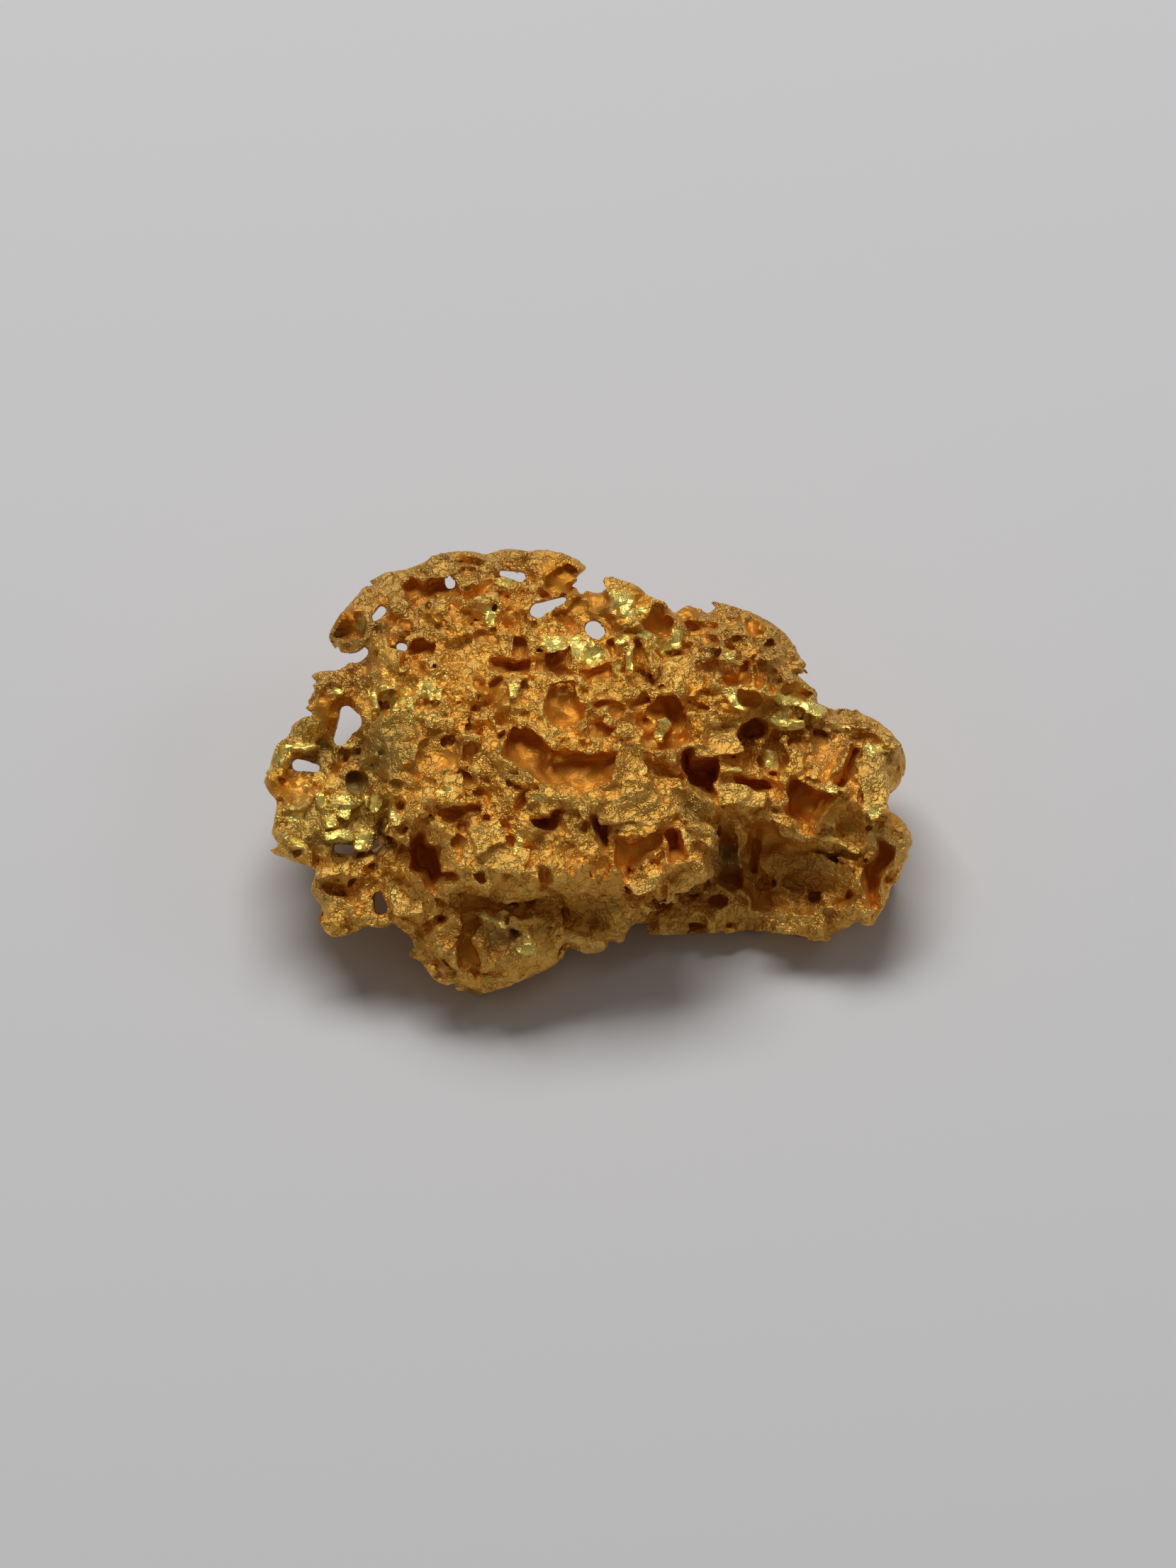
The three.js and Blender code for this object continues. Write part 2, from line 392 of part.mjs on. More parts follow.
// Lumps that stand in or between the hollows: middle, half sizes, turn in degrees anticlockwise, and
// height over the crust
const KNOBS = [
  { name: "knob", at: [6.9, 0.36], half: [0.42, 0.34], turn: -8, rise: 0.0 },
  { name: "knob in hollow", at: [2.85, 1.52], half: [0.22, 0.42], turn: -35, rise: -0.2 },
  { name: "boat", at: [-1.15, -0.98], half: [0.8, 0.33], turn: -6, rise: 0.2 },
  { name: "bead", at: [-1.08, 0.42], half: [0.14, 0.14], turn: 0, rise: -0.35 },
  { name: "facet", at: [0.2, 4.45], half: [0.62, 0.34], turn: -48, rise: 0.1 },
  { name: "pillar", at: [1.45, 4.3], half: [0.28, 0.8], turn: -6, rise: 0.12 },
  { name: "socket lip", at: [3.25, 4.75], half: [0.5, 0.2], turn: 40, rise: 0.2 },
  { name: "fin crag", at: [1.5, 6.05], half: [0.35, 0.5], turn: 25, rise: 0.12 },
  { name: "bright bead", at: [5.35, -0.05], half: [0.28, 0.12], turn: 22, rise: 0.1 },
  { name: "beak brow", at: [4.3, -2.25], half: [0.55, 0.28], turn: -25, rise: 0.25 },
  { name: "slope crag", at: [5.6, -1.1], half: [0.5, 0.3], turn: -30, rise: 0.15 },
  { name: "grey lump", at: [4.15, -1.3], half: [0.6, 0.5], turn: 0, rise: 0.1 },
  { name: "tongue", at: [0.05, -6.15], half: [0.8, 0.25], turn: -22, rise: 0.3 },
  { name: "lump fork", at: [-3.1, -5.55], half: [0.6, 0.16], turn: -35, rise: 0.2 },
  { name: "lump bulge", at: [-2.9, -6.3], half: [0.7, 0.7], turn: 0, rise: 0.12 },
  { name: "lump triangle", at: [-1.85, -6.4], half: [0.3, 0.3], turn: 0, rise: 0.2 },
  { name: "wall bump, a", at: [7.3, -4.85], half: [0.5, 0.4], turn: 10, rise: -0.45 },
  { name: "wall bump, b", at: [9.2, -4.65], half: [0.5, 0.42], turn: 0, rise: -0.4 },
  { name: "wall bump, c", at: [6.35, -4.3], half: [0.35, 0.6], turn: 10, rise: -0.5 },
  { name: "wall bump, d", at: [7.3, -3.2], half: [0.45, 0.5], turn: 20, rise: -0.6 },
  { name: "lace bar, upper", at: [-10.4, 0.9], half: [0.75, 0.12], turn: 4, rise: 0.32 },
  { name: "lace ring", at: [-11.0, 0.6], half: [0.25, 0.35], turn: 20, rise: 0.32 },
  { name: "lace bar, lower", at: [-8.8, -2.45], half: [0.65, 0.16], turn: 2, rise: 0.37 },
  { name: "lace ring, right", at: [-7.95, -2.5], half: [0.22, 0.38], turn: -20, rise: 0.37 },
  { name: "lace bar, left", at: [-10.5, -2.7], half: [0.65, 0.13], turn: -30, rise: 0.32 },
  { name: "lace plate, a", at: [-9.45, -1.15], half: [0.18, 0.22], turn: 0, rise: 0.27 },
  { name: "lace plate, b", at: [-8.5, -1.25], half: [0.35, 0.16], turn: 30, rise: 0.32 },
  { name: "lace plate, c", at: [-7.55, -1.15], half: [0.2, 0.32], turn: -10, rise: 0.32 },
  { name: "lace plate, d", at: [-10.35, -1.7], half: [0.25, 0.12], turn: 0, rise: 0.27 },
  { name: "lace plate, e", at: [-9.1, -1.85], half: [0.2, 0.24], turn: -10, rise: 0.27 },
  { name: "lace plate, f", at: [-6.85, -1.55], half: [0.16, 0.14], turn: 0, rise: 0.27 },
  { name: "lace plate, g", at: [-6.6, -1.85], half: [0.14, 0.18], turn: 30, rise: 0.27 },
  { name: "tab ridge", at: [-8.9, -3.7], half: [0.8, 0.16], turn: 2, rise: 0.3 },
  { name: "tab ridge, right", at: [-7.6, -3.15], half: [0.9, 0.16], turn: 32, rise: 0.3 },
  { name: "tab bump", at: [-6.55, -4.6], half: [0.5, 0.6], turn: 0, rise: 0.15 },
  { name: "tab rim", at: [-7.6, -5.4], half: [0.6, 0.14], turn: -8, rise: 0.2 },
  { name: "right lip", at: [7.3, -1.75], half: [0.8, 0.15], turn: -22, rise: 0.2 },
  { name: "right lip, end", at: [9.1, -2.55], half: [1.2, 0.15], turn: -16, rise: 0.2 },
  { name: "right crest", at: [8.2, 2.4], half: [0.8, 0.16], turn: -25, rise: 0.2 },
  { name: "bright patch", at: [7.5, 1.65], half: [0.6, 0.3], turn: 0, rise: 0.15 },
  { name: "slit's edge", at: [10.5, -0.3], half: [0.5, 1.4], turn: -3, rise: 0.1 },
  { name: "crust brow", at: [2.0, -2.1], half: [1.1, 0.25], turn: 4, rise: 0.2 },
];

const KNOB_FOOT = 1.2; // how far down a lump reaches at full width
const KNOB_BLEND = 0.15;

// Hollows on the back and the underside, which follow a rule
const BACK_HOLLOWS = 90;
const BACK_HOLLOW_HALF = [0.45, 1.1];
const BACK_HOLLOW_DEPTH = [0.5, 1.2];
const BOX_TAPER = 0.3; // share of its width that such a hollow loses at its floor
const BOX_ROUND = 0.16;

// The crust's own unevenness: height and spacing of its swells
const SWELLS = [
  { height: 0.22, spacing: 1.1, phase: 0.7 },
  { height: 0.1, spacing: 0.5, phase: 2.3 },
];

// The crust's plates, each a little higher or lower than the next and turned its own way
const PLATES = { spacing: 1.2, height: 0.26, tilt: 0.3, step: 0.06, seed: 3 };
const PLATE_WARP = { height: 0.3, spacing: 0.55 }; // how far the plates' outlines wander
const PLATE_REACH = 0.7; // how far from the surface the plates matter

// How far a hollow's sides wander from straight
const WANDER = [
  { height: 0.16, spacing: 0.7 },
  { height: 0.09, spacing: 0.28 },
];
const FLOOR_WAVE = { height: 0.16, spacing: 0.4 }; // unevenness of a hollow's floor

const FEET_CUT = 60; // side of the block that is kept above the table

const smoothMax = (a, b, k) => {
  const h = Math.max(k - Math.abs(a - b), 0) / k;
  return Math.max(a, b) + (h * h * k) / 4;
};
const smoothMin = (a, b, k) => -smoothMax(-a, -b, k);

// The picture plane's axes in the nugget's own frame
const SIN = Math.sin(LOOK_DOWN);
const COS = Math.cos(LOOK_DOWN);
const toPart = (u, v, w) => [u, v * SIN - w * COS, v * COS + w * SIN];

// A slow, smooth wave through space, from -1 to 1
function wave(x, y, z, spacing, phase) {
  const [a, b, c] = [x / spacing, y / spacing, z / spacing];
  return (
    (Math.sin(1.7 * a + 2.1 * Math.sin(1.3 * b + phase) + phase) +
      Math.sin(1.9 * b + 1.7 * Math.sin(1.1 * c + 2 * phase)) +
      Math.sin(1.6 * c + 1.9 * Math.sin(1.2 * a + 3 * phase))) /
    3
  );
}

// Signed distance to an ellipsoid, near enough close to it
function ellipsoid(p, at, half) {
  const q = p.map((c, i) => (c - at[i]) / half[i]);
  const k0 = Math.hypot(...q);
  const k1 = Math.hypot(q[0] / half[0], q[1] / half[1], q[2] / half[2]);
  return k1 > 0 ? (k0 * (k0 - 1)) / k1 : -Math.min(...half);
}

// The lobes with their swells, before the outline and the hollows
function lobes(p) {
  let d = 1e3;
  for (const lobe of LOBES) {
    d = smoothMin(d, ellipsoid(p, lobe.at, lobe.half), LOBE_BLEND);
  }
  for (const swell of SWELLS) {
    d += swell.height * wave(...p, swell.spacing, swell.phase);
  }
  return d;
}

// The rim's depth and half thickness near [u, v]
function rimAt(u, v) {
  let [sum, depth, half] = [0, 0, 0];
  for (const spot of RIM) {
    const far = Math.hypot(u - spot.at[0], v - spot.at[1]) / RIM_BLEND;
    const weight = Math.exp(-far * far) + 1e-6 / (1 + far * far);
    sum += weight;
    depth += (weight * (spot.height - spot.at[1] * COS)) / SIN;
    half += weight * spot.half;
  }
  return { depth: depth / sum, half: half / sum };
}

// A closed chain of short straight steps along a smooth curve through the points
function smoothLoop(points, steps) {
  const corners = points.map(([u, v]) => new THREE.Vector3(u, v, 0));
  const curve = new THREE.CatmullRomCurve3(corners, true, "centripetal");
  const chain = curve.getPoints(points.length * steps).slice(0, -1);
  return chain.map((p) => [p.x, p.y]);
}

// Signed distance to a closed chain in the picture plane, negative inside
function loopDistance(u, v, chain) {
  let nearest = Infinity;
  let inside = false;
  let [bu, bv] = chain[chain.length - 1];
  for (const [au, av] of chain) {
    const eu = bu - au;
    const ev = bv - av;
    const along = ((u - au) * eu + (v - av) * ev) / (eu * eu + ev * ev);
    const t = THREE.MathUtils.clamp(along, 0, 1);
    nearest = Math.min(nearest, Math.hypot(u - au - t * eu, v - av - t * ev));
    if (av > v !== bv > v && u < au + (eu * (v - av)) / ev) inside = !inside;
    [bu, bv] = [au, av];
  }
  return inside ? -nearest : nearest;
}

const outlineChain = smoothLoop(OUTLINE, OUTLINE_STEPS);

// Signed distance to a slot-shaped hole in the picture plane
function holeDistance(u, v, hole) {
  const [au, av] = hole.from;
  const [eu, ev] = [hole.to[0] - au, hole.to[1] - av];
  const t = THREE.MathUtils.clamp(((u - au) * eu + (v - av) * ev) / (eu * eu + ev * ev), 0, 1);
  const radius = hole.radius[0] + t * (hole.radius[1] - hole.radius[0]);
  return Math.hypot(u - au - t * eu, v - av - t * ev) - radius;
}

// What the picture plane says at [u, v]: the outline, the rim and the holes
function columnAt(u, v) {
  const hole = Math.min(...HOLES.map((h) => holeDistance(u, v, h)));
  return { edge: loopDistance(u, v, outlineChain), rim: rimAt(u, v), hole };
}

// A number from 0 to 1 that looks random, the same each time for one cell
function scatter(i, j, k, n) {
  const s = Math.sin(i * 12.9898 + j * 78.233 + k * 37.719 + n * 4.581) * 43758.5453;
  return s - Math.floor(s);
}

const AROUND = [-1, 0, 1];
const seatOf = (cell, { spacing, seed }) => cell.map((x, n) => (x + scatter(...cell, seed + n)) * spacing);

// Height of the plates at a point: flat patches around scattered seats, with a step between two
function plateHeight([u, v, w], plates) {
  const warp = [4, 5, 6].map((phase) => PLATE_WARP.height * wave(u, v, w, PLATE_WARP.spacing, phase));
  const p = [u + warp[0], v + warp[1], w + warp[2]];
  const cell = p.map((c) => Math.floor(c / plates.spacing));
  const found = [];
  for (const a of AROUND) {
    for (const b of AROUND) {
      for (const c of AROUND) {
        const near = [cell[0] + a, cell[1] + b, cell[2] + c];
        const seat = seatOf(near, plates);
        const across = p.map((x, n) => x - seat[n]);
        found.push({ near, across, far: Math.hypot(...across) });
      }
    }
  }
  const nearest = Math.min(...found.map((f) => f.far));
  let total = 0;
  let sum = 0;
  for (const { near, across, far } of found) {
    const weight = Math.exp((nearest - far) / plates.step);
    if (weight < 1e-4) continue;
    const rise = plates.height * (2 * scatter(...near, plates.seed + 3) - 1);
    const lean = across.map((x, n) => x * (2 * scatter(...near, plates.seed + 4 + n) - 1));
    total += weight * (rise + plates.tilt * (lean[0] + lean[1] + lean[2]));
    sum += weight;
  }
  return total / sum;
}

// The gold before any hollow is cut, at a point of the picture plane's frame
function crust(u, v, w, { edge, rim }) {
  const bulk = smoothMax(lobes(toPart(u, v, w)), edge, EDGE_ROUND);
  const bead = Math.hypot(edge + rim.half, w - rim.depth) - rim.half;
  const smooth = smoothMin(bulk, bead, LOBE_BLEND / 2);
  return Math.abs(smooth) < PLATE_REACH ? smooth + plateHeight([u, v, w], PLATES) : smooth;
}

// Depth of the first gold that the eye meets at [u, v]
const EYE_REACH = [14, -14];
const EYE_STEP = 0.1;
function seenDepth(u, v) {
  const column = columnAt(u, v);
  for (let w = EYE_REACH[0]; w > EYE_REACH[1]; w -= EYE_STEP) {
    if (crust(u, v, w, column) < 0) return w;
  }
  return 0;
}

// A hollow that faces the eye: its mouth's outline, and the plane that lies closest to the crust there
function seenHollow({ loop, depth }) {
  const middle = [0, 1].map((k) => loop.reduce((sum, p) => sum + p[k], 0) / loop.length);
  const spots = loop.map(([u, v]) => [u - middle[0], v - middle[1], seenDepth(u, v)]);
  const top = spots.reduce((sum, p) => sum + p[2], 0) / spots.length;
  const sumOf = (i, j) => spots.reduce((sum, p) => sum + p[i] * p[j], 0);
  const [uu, uv, vv, uw, vw] = [sumOf(0, 0), sumOf(0, 1), sumOf(1, 1), sumOf(0, 2), sumOf(1, 2)];
  const scale = uu * vv - uv * uv;
  const lean = [(uw * vv - vw * uv) / scale, (vw * uu - uw * uv) / scale];
  const tilt = lean.map((s) => THREE.MathUtils.clamp(s, -HOLLOW_TILT, HOLLOW_TILT));
  const half = [0, 1].map((k) => Math.max(...loop.map((p) => Math.abs(p[k] - middle[k]))) + 1);
  return { middle, top, lean: tilt, half, depth, chain: smoothLoop(loop, LOOP_STEPS) };
}

function seenHollowDistance(p, hollow) {
  const a = p[0] - hollow.middle[0];
  const b = p[1] - hollow.middle[1];
  const below = hollow.top + hollow.lean[0] * a + hollow.lean[1] * b - p[2];
  const uneven = FLOOR_WAVE.height * wave(...p, FLOOR_WAVE.spacing, 5);
  const across = loopDistance(p[0], p[1], hollow.chain);
  const side = across + HOLLOW_TAPER * THREE.MathUtils.clamp(below, 0, hollow.depth);
  const inward = THREE.MathUtils.clamp(1 + across / BOWL_WIDTH, 0, 1);
  const floor = below + uneven - hollow.depth * (1 - HOLLOW_BOWL * inward * inward);
  const table = FLOOR_LEFT - toPart(...p)[2];
  return Math.max(smoothMax(side, floor, HOLLOW_ROUND), -below - HOLLOW_MOUTH, table);
}

// A box-shaped hollow: its frame, half sizes at the mouth, and its span along its own axis
function pocket(origin, axes, half, depth) {
  const middle = (HOLLOW_MOUTH - depth) / 2;
  const span = (HOLLOW_MOUTH + depth) / 2;
  return { origin, axes, half, depth, middle, span, reach: Math.hypot(...half, span) + 1 };
}

function pocketDistance(p, box) {
  const d = [p[0] - box.origin[0], p[1] - box.origin[1], p[2] - box.origin[2]];
  const [a, b, c] = box.axes.map((axis) => d[0] * axis[0] + d[1] * axis[1] + d[2] * axis[2]);
  const taper = 1 - BOX_TAPER * THREE.MathUtils.clamp(-c / box.depth, 0, 1);
  const qa = Math.abs(a) - box.half[0] * taper + BOX_ROUND;
  const qb = Math.abs(b) - box.half[1] * taper + BOX_ROUND;
  const qc = Math.abs(c - box.middle) - box.span + BOX_ROUND;
  const outside = Math.hypot(Math.max(qa, 0), Math.max(qb, 0), Math.max(qc, 0));
  return outside + Math.min(Math.max(qa, qb, qc), 0) - BOX_ROUND;
}

// Axes of a pocket that faces the eye, turned in the picture plane
function facingAxes(turn) {
  const t = THREE.MathUtils.degToRad(turn);
  const [c, s] = [Math.cos(t), Math.sin(t)];
  return [[c, s, 0], [-s, c, 0], [0, 0, 1]];
}

const seenHollows = HOLLOWS.map(seenHollow);
const knobs = KNOBS.map((k) => ({
  origin: [...k.at, seenDepth(...k.at) + k.rise - Math.min(...k.half)],
  axes: facingAxes(k.turn),
  half: [...k.half, Math.min(...k.half) * 1.0],
  foot: KNOB_FOOT,
}));

// A chain of numbers that looks random and is the same every time
let chain = 20011;
function next() {
  chain = (chain * 16807) % 2147483647;
  return chain / 2147483647;
}
const between = ([low, high]) => low + (high - low) * next();

// The back and underside: spots spread evenly over a sphere around the nugget are dropped onto the crust
const MIDDLE = [0, -0.4, 4.2]; // in the picture plane's frame
const REACH = [13.5, 9.5, 7];
const BACK_FACING = -0.05; // spots that look towards the eye more than this are left to the list above
const RIM_CLEAR = 1.3; // how far in from the outline a hollow stays where the rim is thin
const THIN_RIM = 0.65;

// The first gold on the way in from the sphere, if there is any
function firstGold(out) {
  for (let t = 1; t > 0.1; t -= 0.01) {
    const p = out.map((c, k) => MIDDLE[k] + c * REACH[k] * t);
    if (crust(...p, columnAt(p[0], p[1])) < 0) return p;
  }
  return null;
}

function backPockets() {
  const made = [];
  for (let i = 0; i < 2 * BACK_HOLLOWS; i++) {
    const height = 1 - (i + 0.5) / BACK_HOLLOWS;
    const turn = i * Math.PI * (3 - Math.sqrt(5));
    const ring = Math.sqrt(Math.max(0, 1 - height * height));
    const out = [ring * Math.cos(turn), ring * Math.sin(turn), height];
    const spin = next() * Math.PI;
    const half = [between(BACK_HOLLOW_HALF), between(BACK_HOLLOW_HALF)];
    const depth = between(BACK_HOLLOW_DEPTH);
    if (height > BACK_FACING) continue;
    const p = firstGold(out);
    if (!p) continue;
    const column = columnAt(p[0], p[1]);
    if (column.edge > -RIM_CLEAR && column.rim.half < THIN_RIM) continue;
    const c = new THREE.Vector3(...out.map((x, k) => x / REACH[k])).normalize();
    const a = new THREE.Vector3(0, 1, 0).cross(c).normalize();
    const b = c.clone().cross(a);
    a.applyAxisAngle(c, spin);
    b.applyAxisAngle(c, spin);
    made.push(pocket(p, [a.toArray(), b.toArray(), c.toArray()], half, depth));
  }
  return made;
}
const boxes = backPockets();

function knobDistance(p, knob) {
  const d = [p[0] - knob.origin[0], p[1] - knob.origin[1], p[2] - knob.origin[2]];
  const [a, b, c] = knob.axes.map((axis) => d[0] * axis[0] + d[1] * axis[1] + d[2] * axis[2]);
  const drop = c < 0 ? Math.max(0, -c - knob.foot) : c;
  return ellipsoid([a, b, drop], [0, 0, 0], knob.half);
}

// The whole field at one point, given what the picture plane says there
function field(u, v, w, column) {
  let d = crust(u, v, w, column);
  if (d > 2) return d;
  const p = [u, v, w];
  for (const { height, spacing } of WANDER) {
    for (let k = 0; k < 3; k++) {
      p[k] += height * wave(u, v, w, spacing, 1 + k);
    }
  }
  for (const hollow of seenHollows) {
    if (Math.abs(p[0] - hollow.middle[0]) > hollow.half[0]) continue;
    if (Math.abs(p[1] - hollow.middle[1]) > hollow.half[1]) continue;
    d = Math.max(d, -seenHollowDistance(p, hollow));
  }
  for (const box of boxes) {
    if (Math.abs(p[0] - box.origin[0]) > box.reach) continue;
    if (Math.abs(p[1] - box.origin[1]) > box.reach) continue;
    d = Math.max(d, -pocketDistance(p, box));
  }
  for (const knob of knobs) {
    d = smoothMin(d, knobDistance(p, knob), KNOB_BLEND);
  }
  return Math.max(d, column.edge, -column.hole);
}

// Samples the field on an even grid around the nugget
const MARGIN = 0.9;
const LOW = [-12.1 - MARGIN, -8.3 - MARGIN, -3];
const HIGH = [12.1 + MARGIN, 8.3 + MARGIN, 11];
const COUNT = LOW.map((low, k) => Math.ceil((HIGH[k] - low) / CELL) + 1);
const STRIDE = [1, COUNT[0], COUNT[0] * COUNT[1]];
const place = (i, k) => LOW[k] + i * CELL;

function sampleField() {
  const values = new Float64Array(COUNT[0] * COUNT[1] * COUNT[2]);
  for (let j = 0; j < COUNT[1]; j++) {
    for (let i = 0; i < COUNT[0]; i++) {
      const [u, v] = [place(i, 0), place(j, 1)];
      const column = columnAt(u, v);
      for (let k = 0; k < COUNT[2]; k++) {
        values[i + j * STRIDE[1] + k * STRIDE[2]] = field(u, v, place(k, 2), column);
      }
    }
  }
  return values;
}

// From a cell's first corner to its corner c, whose bits say along which axes it lies
const cornerStep = (c) => (c & 1) + (c & 2 ? STRIDE[1] : 0) + (c & 4 ? STRIDE[2] : 0);

// Fills the grid's corner-to-corner contacts, which no real solid has
function closeCorners(values) {
  const SLIGHT = -0.02 * CELL;
  const pairs = [[0, 1], [0, 2], [1, 2]];
  for (let changed = true; changed; ) {
    changed = false;
    for (let n = 0; n < values.length - STRIDE[2] - STRIDE[1] - 1; n++) {
      for (const [a, b] of pairs) {
        const [p, q, r, s] = [n, n + STRIDE[a], n + STRIDE[b], n + STRIDE[a] + STRIDE[b]];
        const inside = [p, q, r, s].map((m) => values[m] < 0);
        if (inside[0] === inside[3] && inside[1] === inside[2] && inside[0] !== inside[1]) {
          const open = inside[0] ? [q, r] : [p, s];
          values[values[open[0]] < values[open[1]] ? open[0] : open[1]] = SLIGHT;
          changed = true;
        }
      }
      const corners = [0, 1, 2, 3, 4, 5, 6, 7].map((c) => n + cornerStep(c));
      const full = corners.filter((m) => values[m] < 0);
      for (let c = 0; c < 4; c++) {
        const ends = [corners[c], corners[7 - c]];
        if (full.length === 2 && ends.every((m) => values[m] < 0)) {
          values[corners[c ^ 1]] = SLIGHT;
          changed = true;
        }
        if (full.length === 6 && ends.every((m) => values[m] >= 0)) {
          values[ends[0]] = SLIGHT;
          changed = true;
        }
      }
    }
  }
}

// Keeps the gold that hangs together with the core and clears loose crumbs
function keepOnePiece(values) {
  const label = new Uint8Array(values.length);
  let best = [];
  for (let start = 0; start < values.length; start++) {
    if (values[start] >= 0 || label[start]) continue;
    const found = [start];
    label[start] = 1;
    for (let at = 0; at < found.length; at++) {
      for (const step of STRIDE) {
        for (const m of [found[at] - step, found[at] + step]) {
          if (values[m] < 0 && !label[m]) {
            label[m] = 1;
            found.push(m);
          }
        }
      }
    }
    if (found.length > best.length) best = found;
  }
  const kept = new Uint8Array(values.length);
  for (const m of best) {
    kept[m] = 1;
  }
  for (let m = 0; m < values.length; m++) {
    if (values[m] < 0 && !kept[m]) values[m] = CELL;
  }
}

// Fills sealed bubbles inside the gold
function fillBubbles(values) {
  const open = new Uint8Array(values.length);
  const found = [0];
  open[0] = 1;
  for (let at = 0; at < found.length; at++) {
    for (const step of STRIDE) {
      for (const m of [found[at] - step, found[at] + step]) {
        if (m >= 0 && m < values.length && values[m] >= 0 && !open[m]) {
          open[m] = 1;
          found.push(m);
        }
      }
    }
  }
  for (let m = 0; m < values.length; m++) {
    if (values[m] >= 0 && !open[m]) values[m] = -CELL;
  }
}

// One vertex in each cell that the surface crosses, pulled onto the planes of its crossings, so that
// rims stay crisp
function drawSurface(values) {
  const slope = (m) => {
    const g = STRIDE.map((s) => values[Math.min(values.length - 1, m + s)] - values[Math.max(0, m - s)]);
    const size = Math.hypot(...g) || 1;
    return g.map((c) => c / size);
  };
  const points = [];
  const faces = [];
  const vertexOf = new Int32Array(values.length).fill(-1);
  const edges = [];
  for (let a = 0; a < 8; a++) {
    for (const bit of [1, 2, 4]) {
      if (!(a & bit)) edges.push([a, a | bit]);
    }
  }
  for (let k = 0; k < COUNT[2] - 1; k++) {
    for (let j = 0; j < COUNT[1] - 1; j++) {
      for (let i = 0; i < COUNT[0] - 1; i++) {
        const n = i + j * STRIDE[1] + k * STRIDE[2];
        const planes = [];
        for (const [a, b] of edges) {
          const [ma, mb] = [n + cornerStep(a), n + cornerStep(b)];
          const [fa, fb] = [values[ma], values[mb]];
          if (fa < 0 === fb < 0) continue;
          const t = fa / (fa - fb);
          const [na, nb] = [slope(ma), slope(mb)];
          const at = [0, 1, 2].map((c) => ((a >> c) & 1) * (1 - t) + ((b >> c) & 1) * t);
          planes.push({ at, normal: na.map((x, c) => x * (1 - t) + nb[c] * t) });
        }
        if (!planes.length) continue;
        const p = [0, 1, 2].map((c) => planes.reduce((sum, s) => sum + s.at[c], 0) / planes.length);
        for (let round = 0; round < 8; round++) {
          const pull = [0, 0, 0];
          for (const s of planes) {
            const off = s.normal.reduce((sum, x, c) => sum + x * (s.at[c] - p[c]), 0);
            for (let c = 0; c < 3; c++) {
              pull[c] += (s.normal[c] * off) / planes.length;
            }
          }
          for (let c = 0; c < 3; c++) {
            p[c] = THREE.MathUtils.clamp(p[c] + pull[c], 0.05, 0.95);
          }
        }
        vertexOf[n] = points.length;
        points.push([place(i + p[0], 0), place(j + p[1], 1), place(k + p[2], 2)]);
      }
    }
  }
  for (let k = 1; k < COUNT[2] - 1; k++) {
    for (let j = 1; j < COUNT[1] - 1; j++) {
      for (let i = 1; i < COUNT[0] - 1; i++) {
        const n = i + j * STRIDE[1] + k * STRIDE[2];
        for (let c = 0; c < 3; c++) {
          const inside = values[n] < 0;
          if (inside === values[n + STRIDE[c]] < 0) continue;
          const [s, t] = [STRIDE[(c + 1) % 3], STRIDE[(c + 2) % 3]];
          const ring = [n, n - s, n - s - t, n - t].map((m) => vertexOf[m]);
          if (!inside) ring.reverse();
          faces.push([ring[0], ring[1], ring[2]], [ring[0], ring[2], ring[3]]);
        }
      }
    }
  }
  return { points, faces };
}

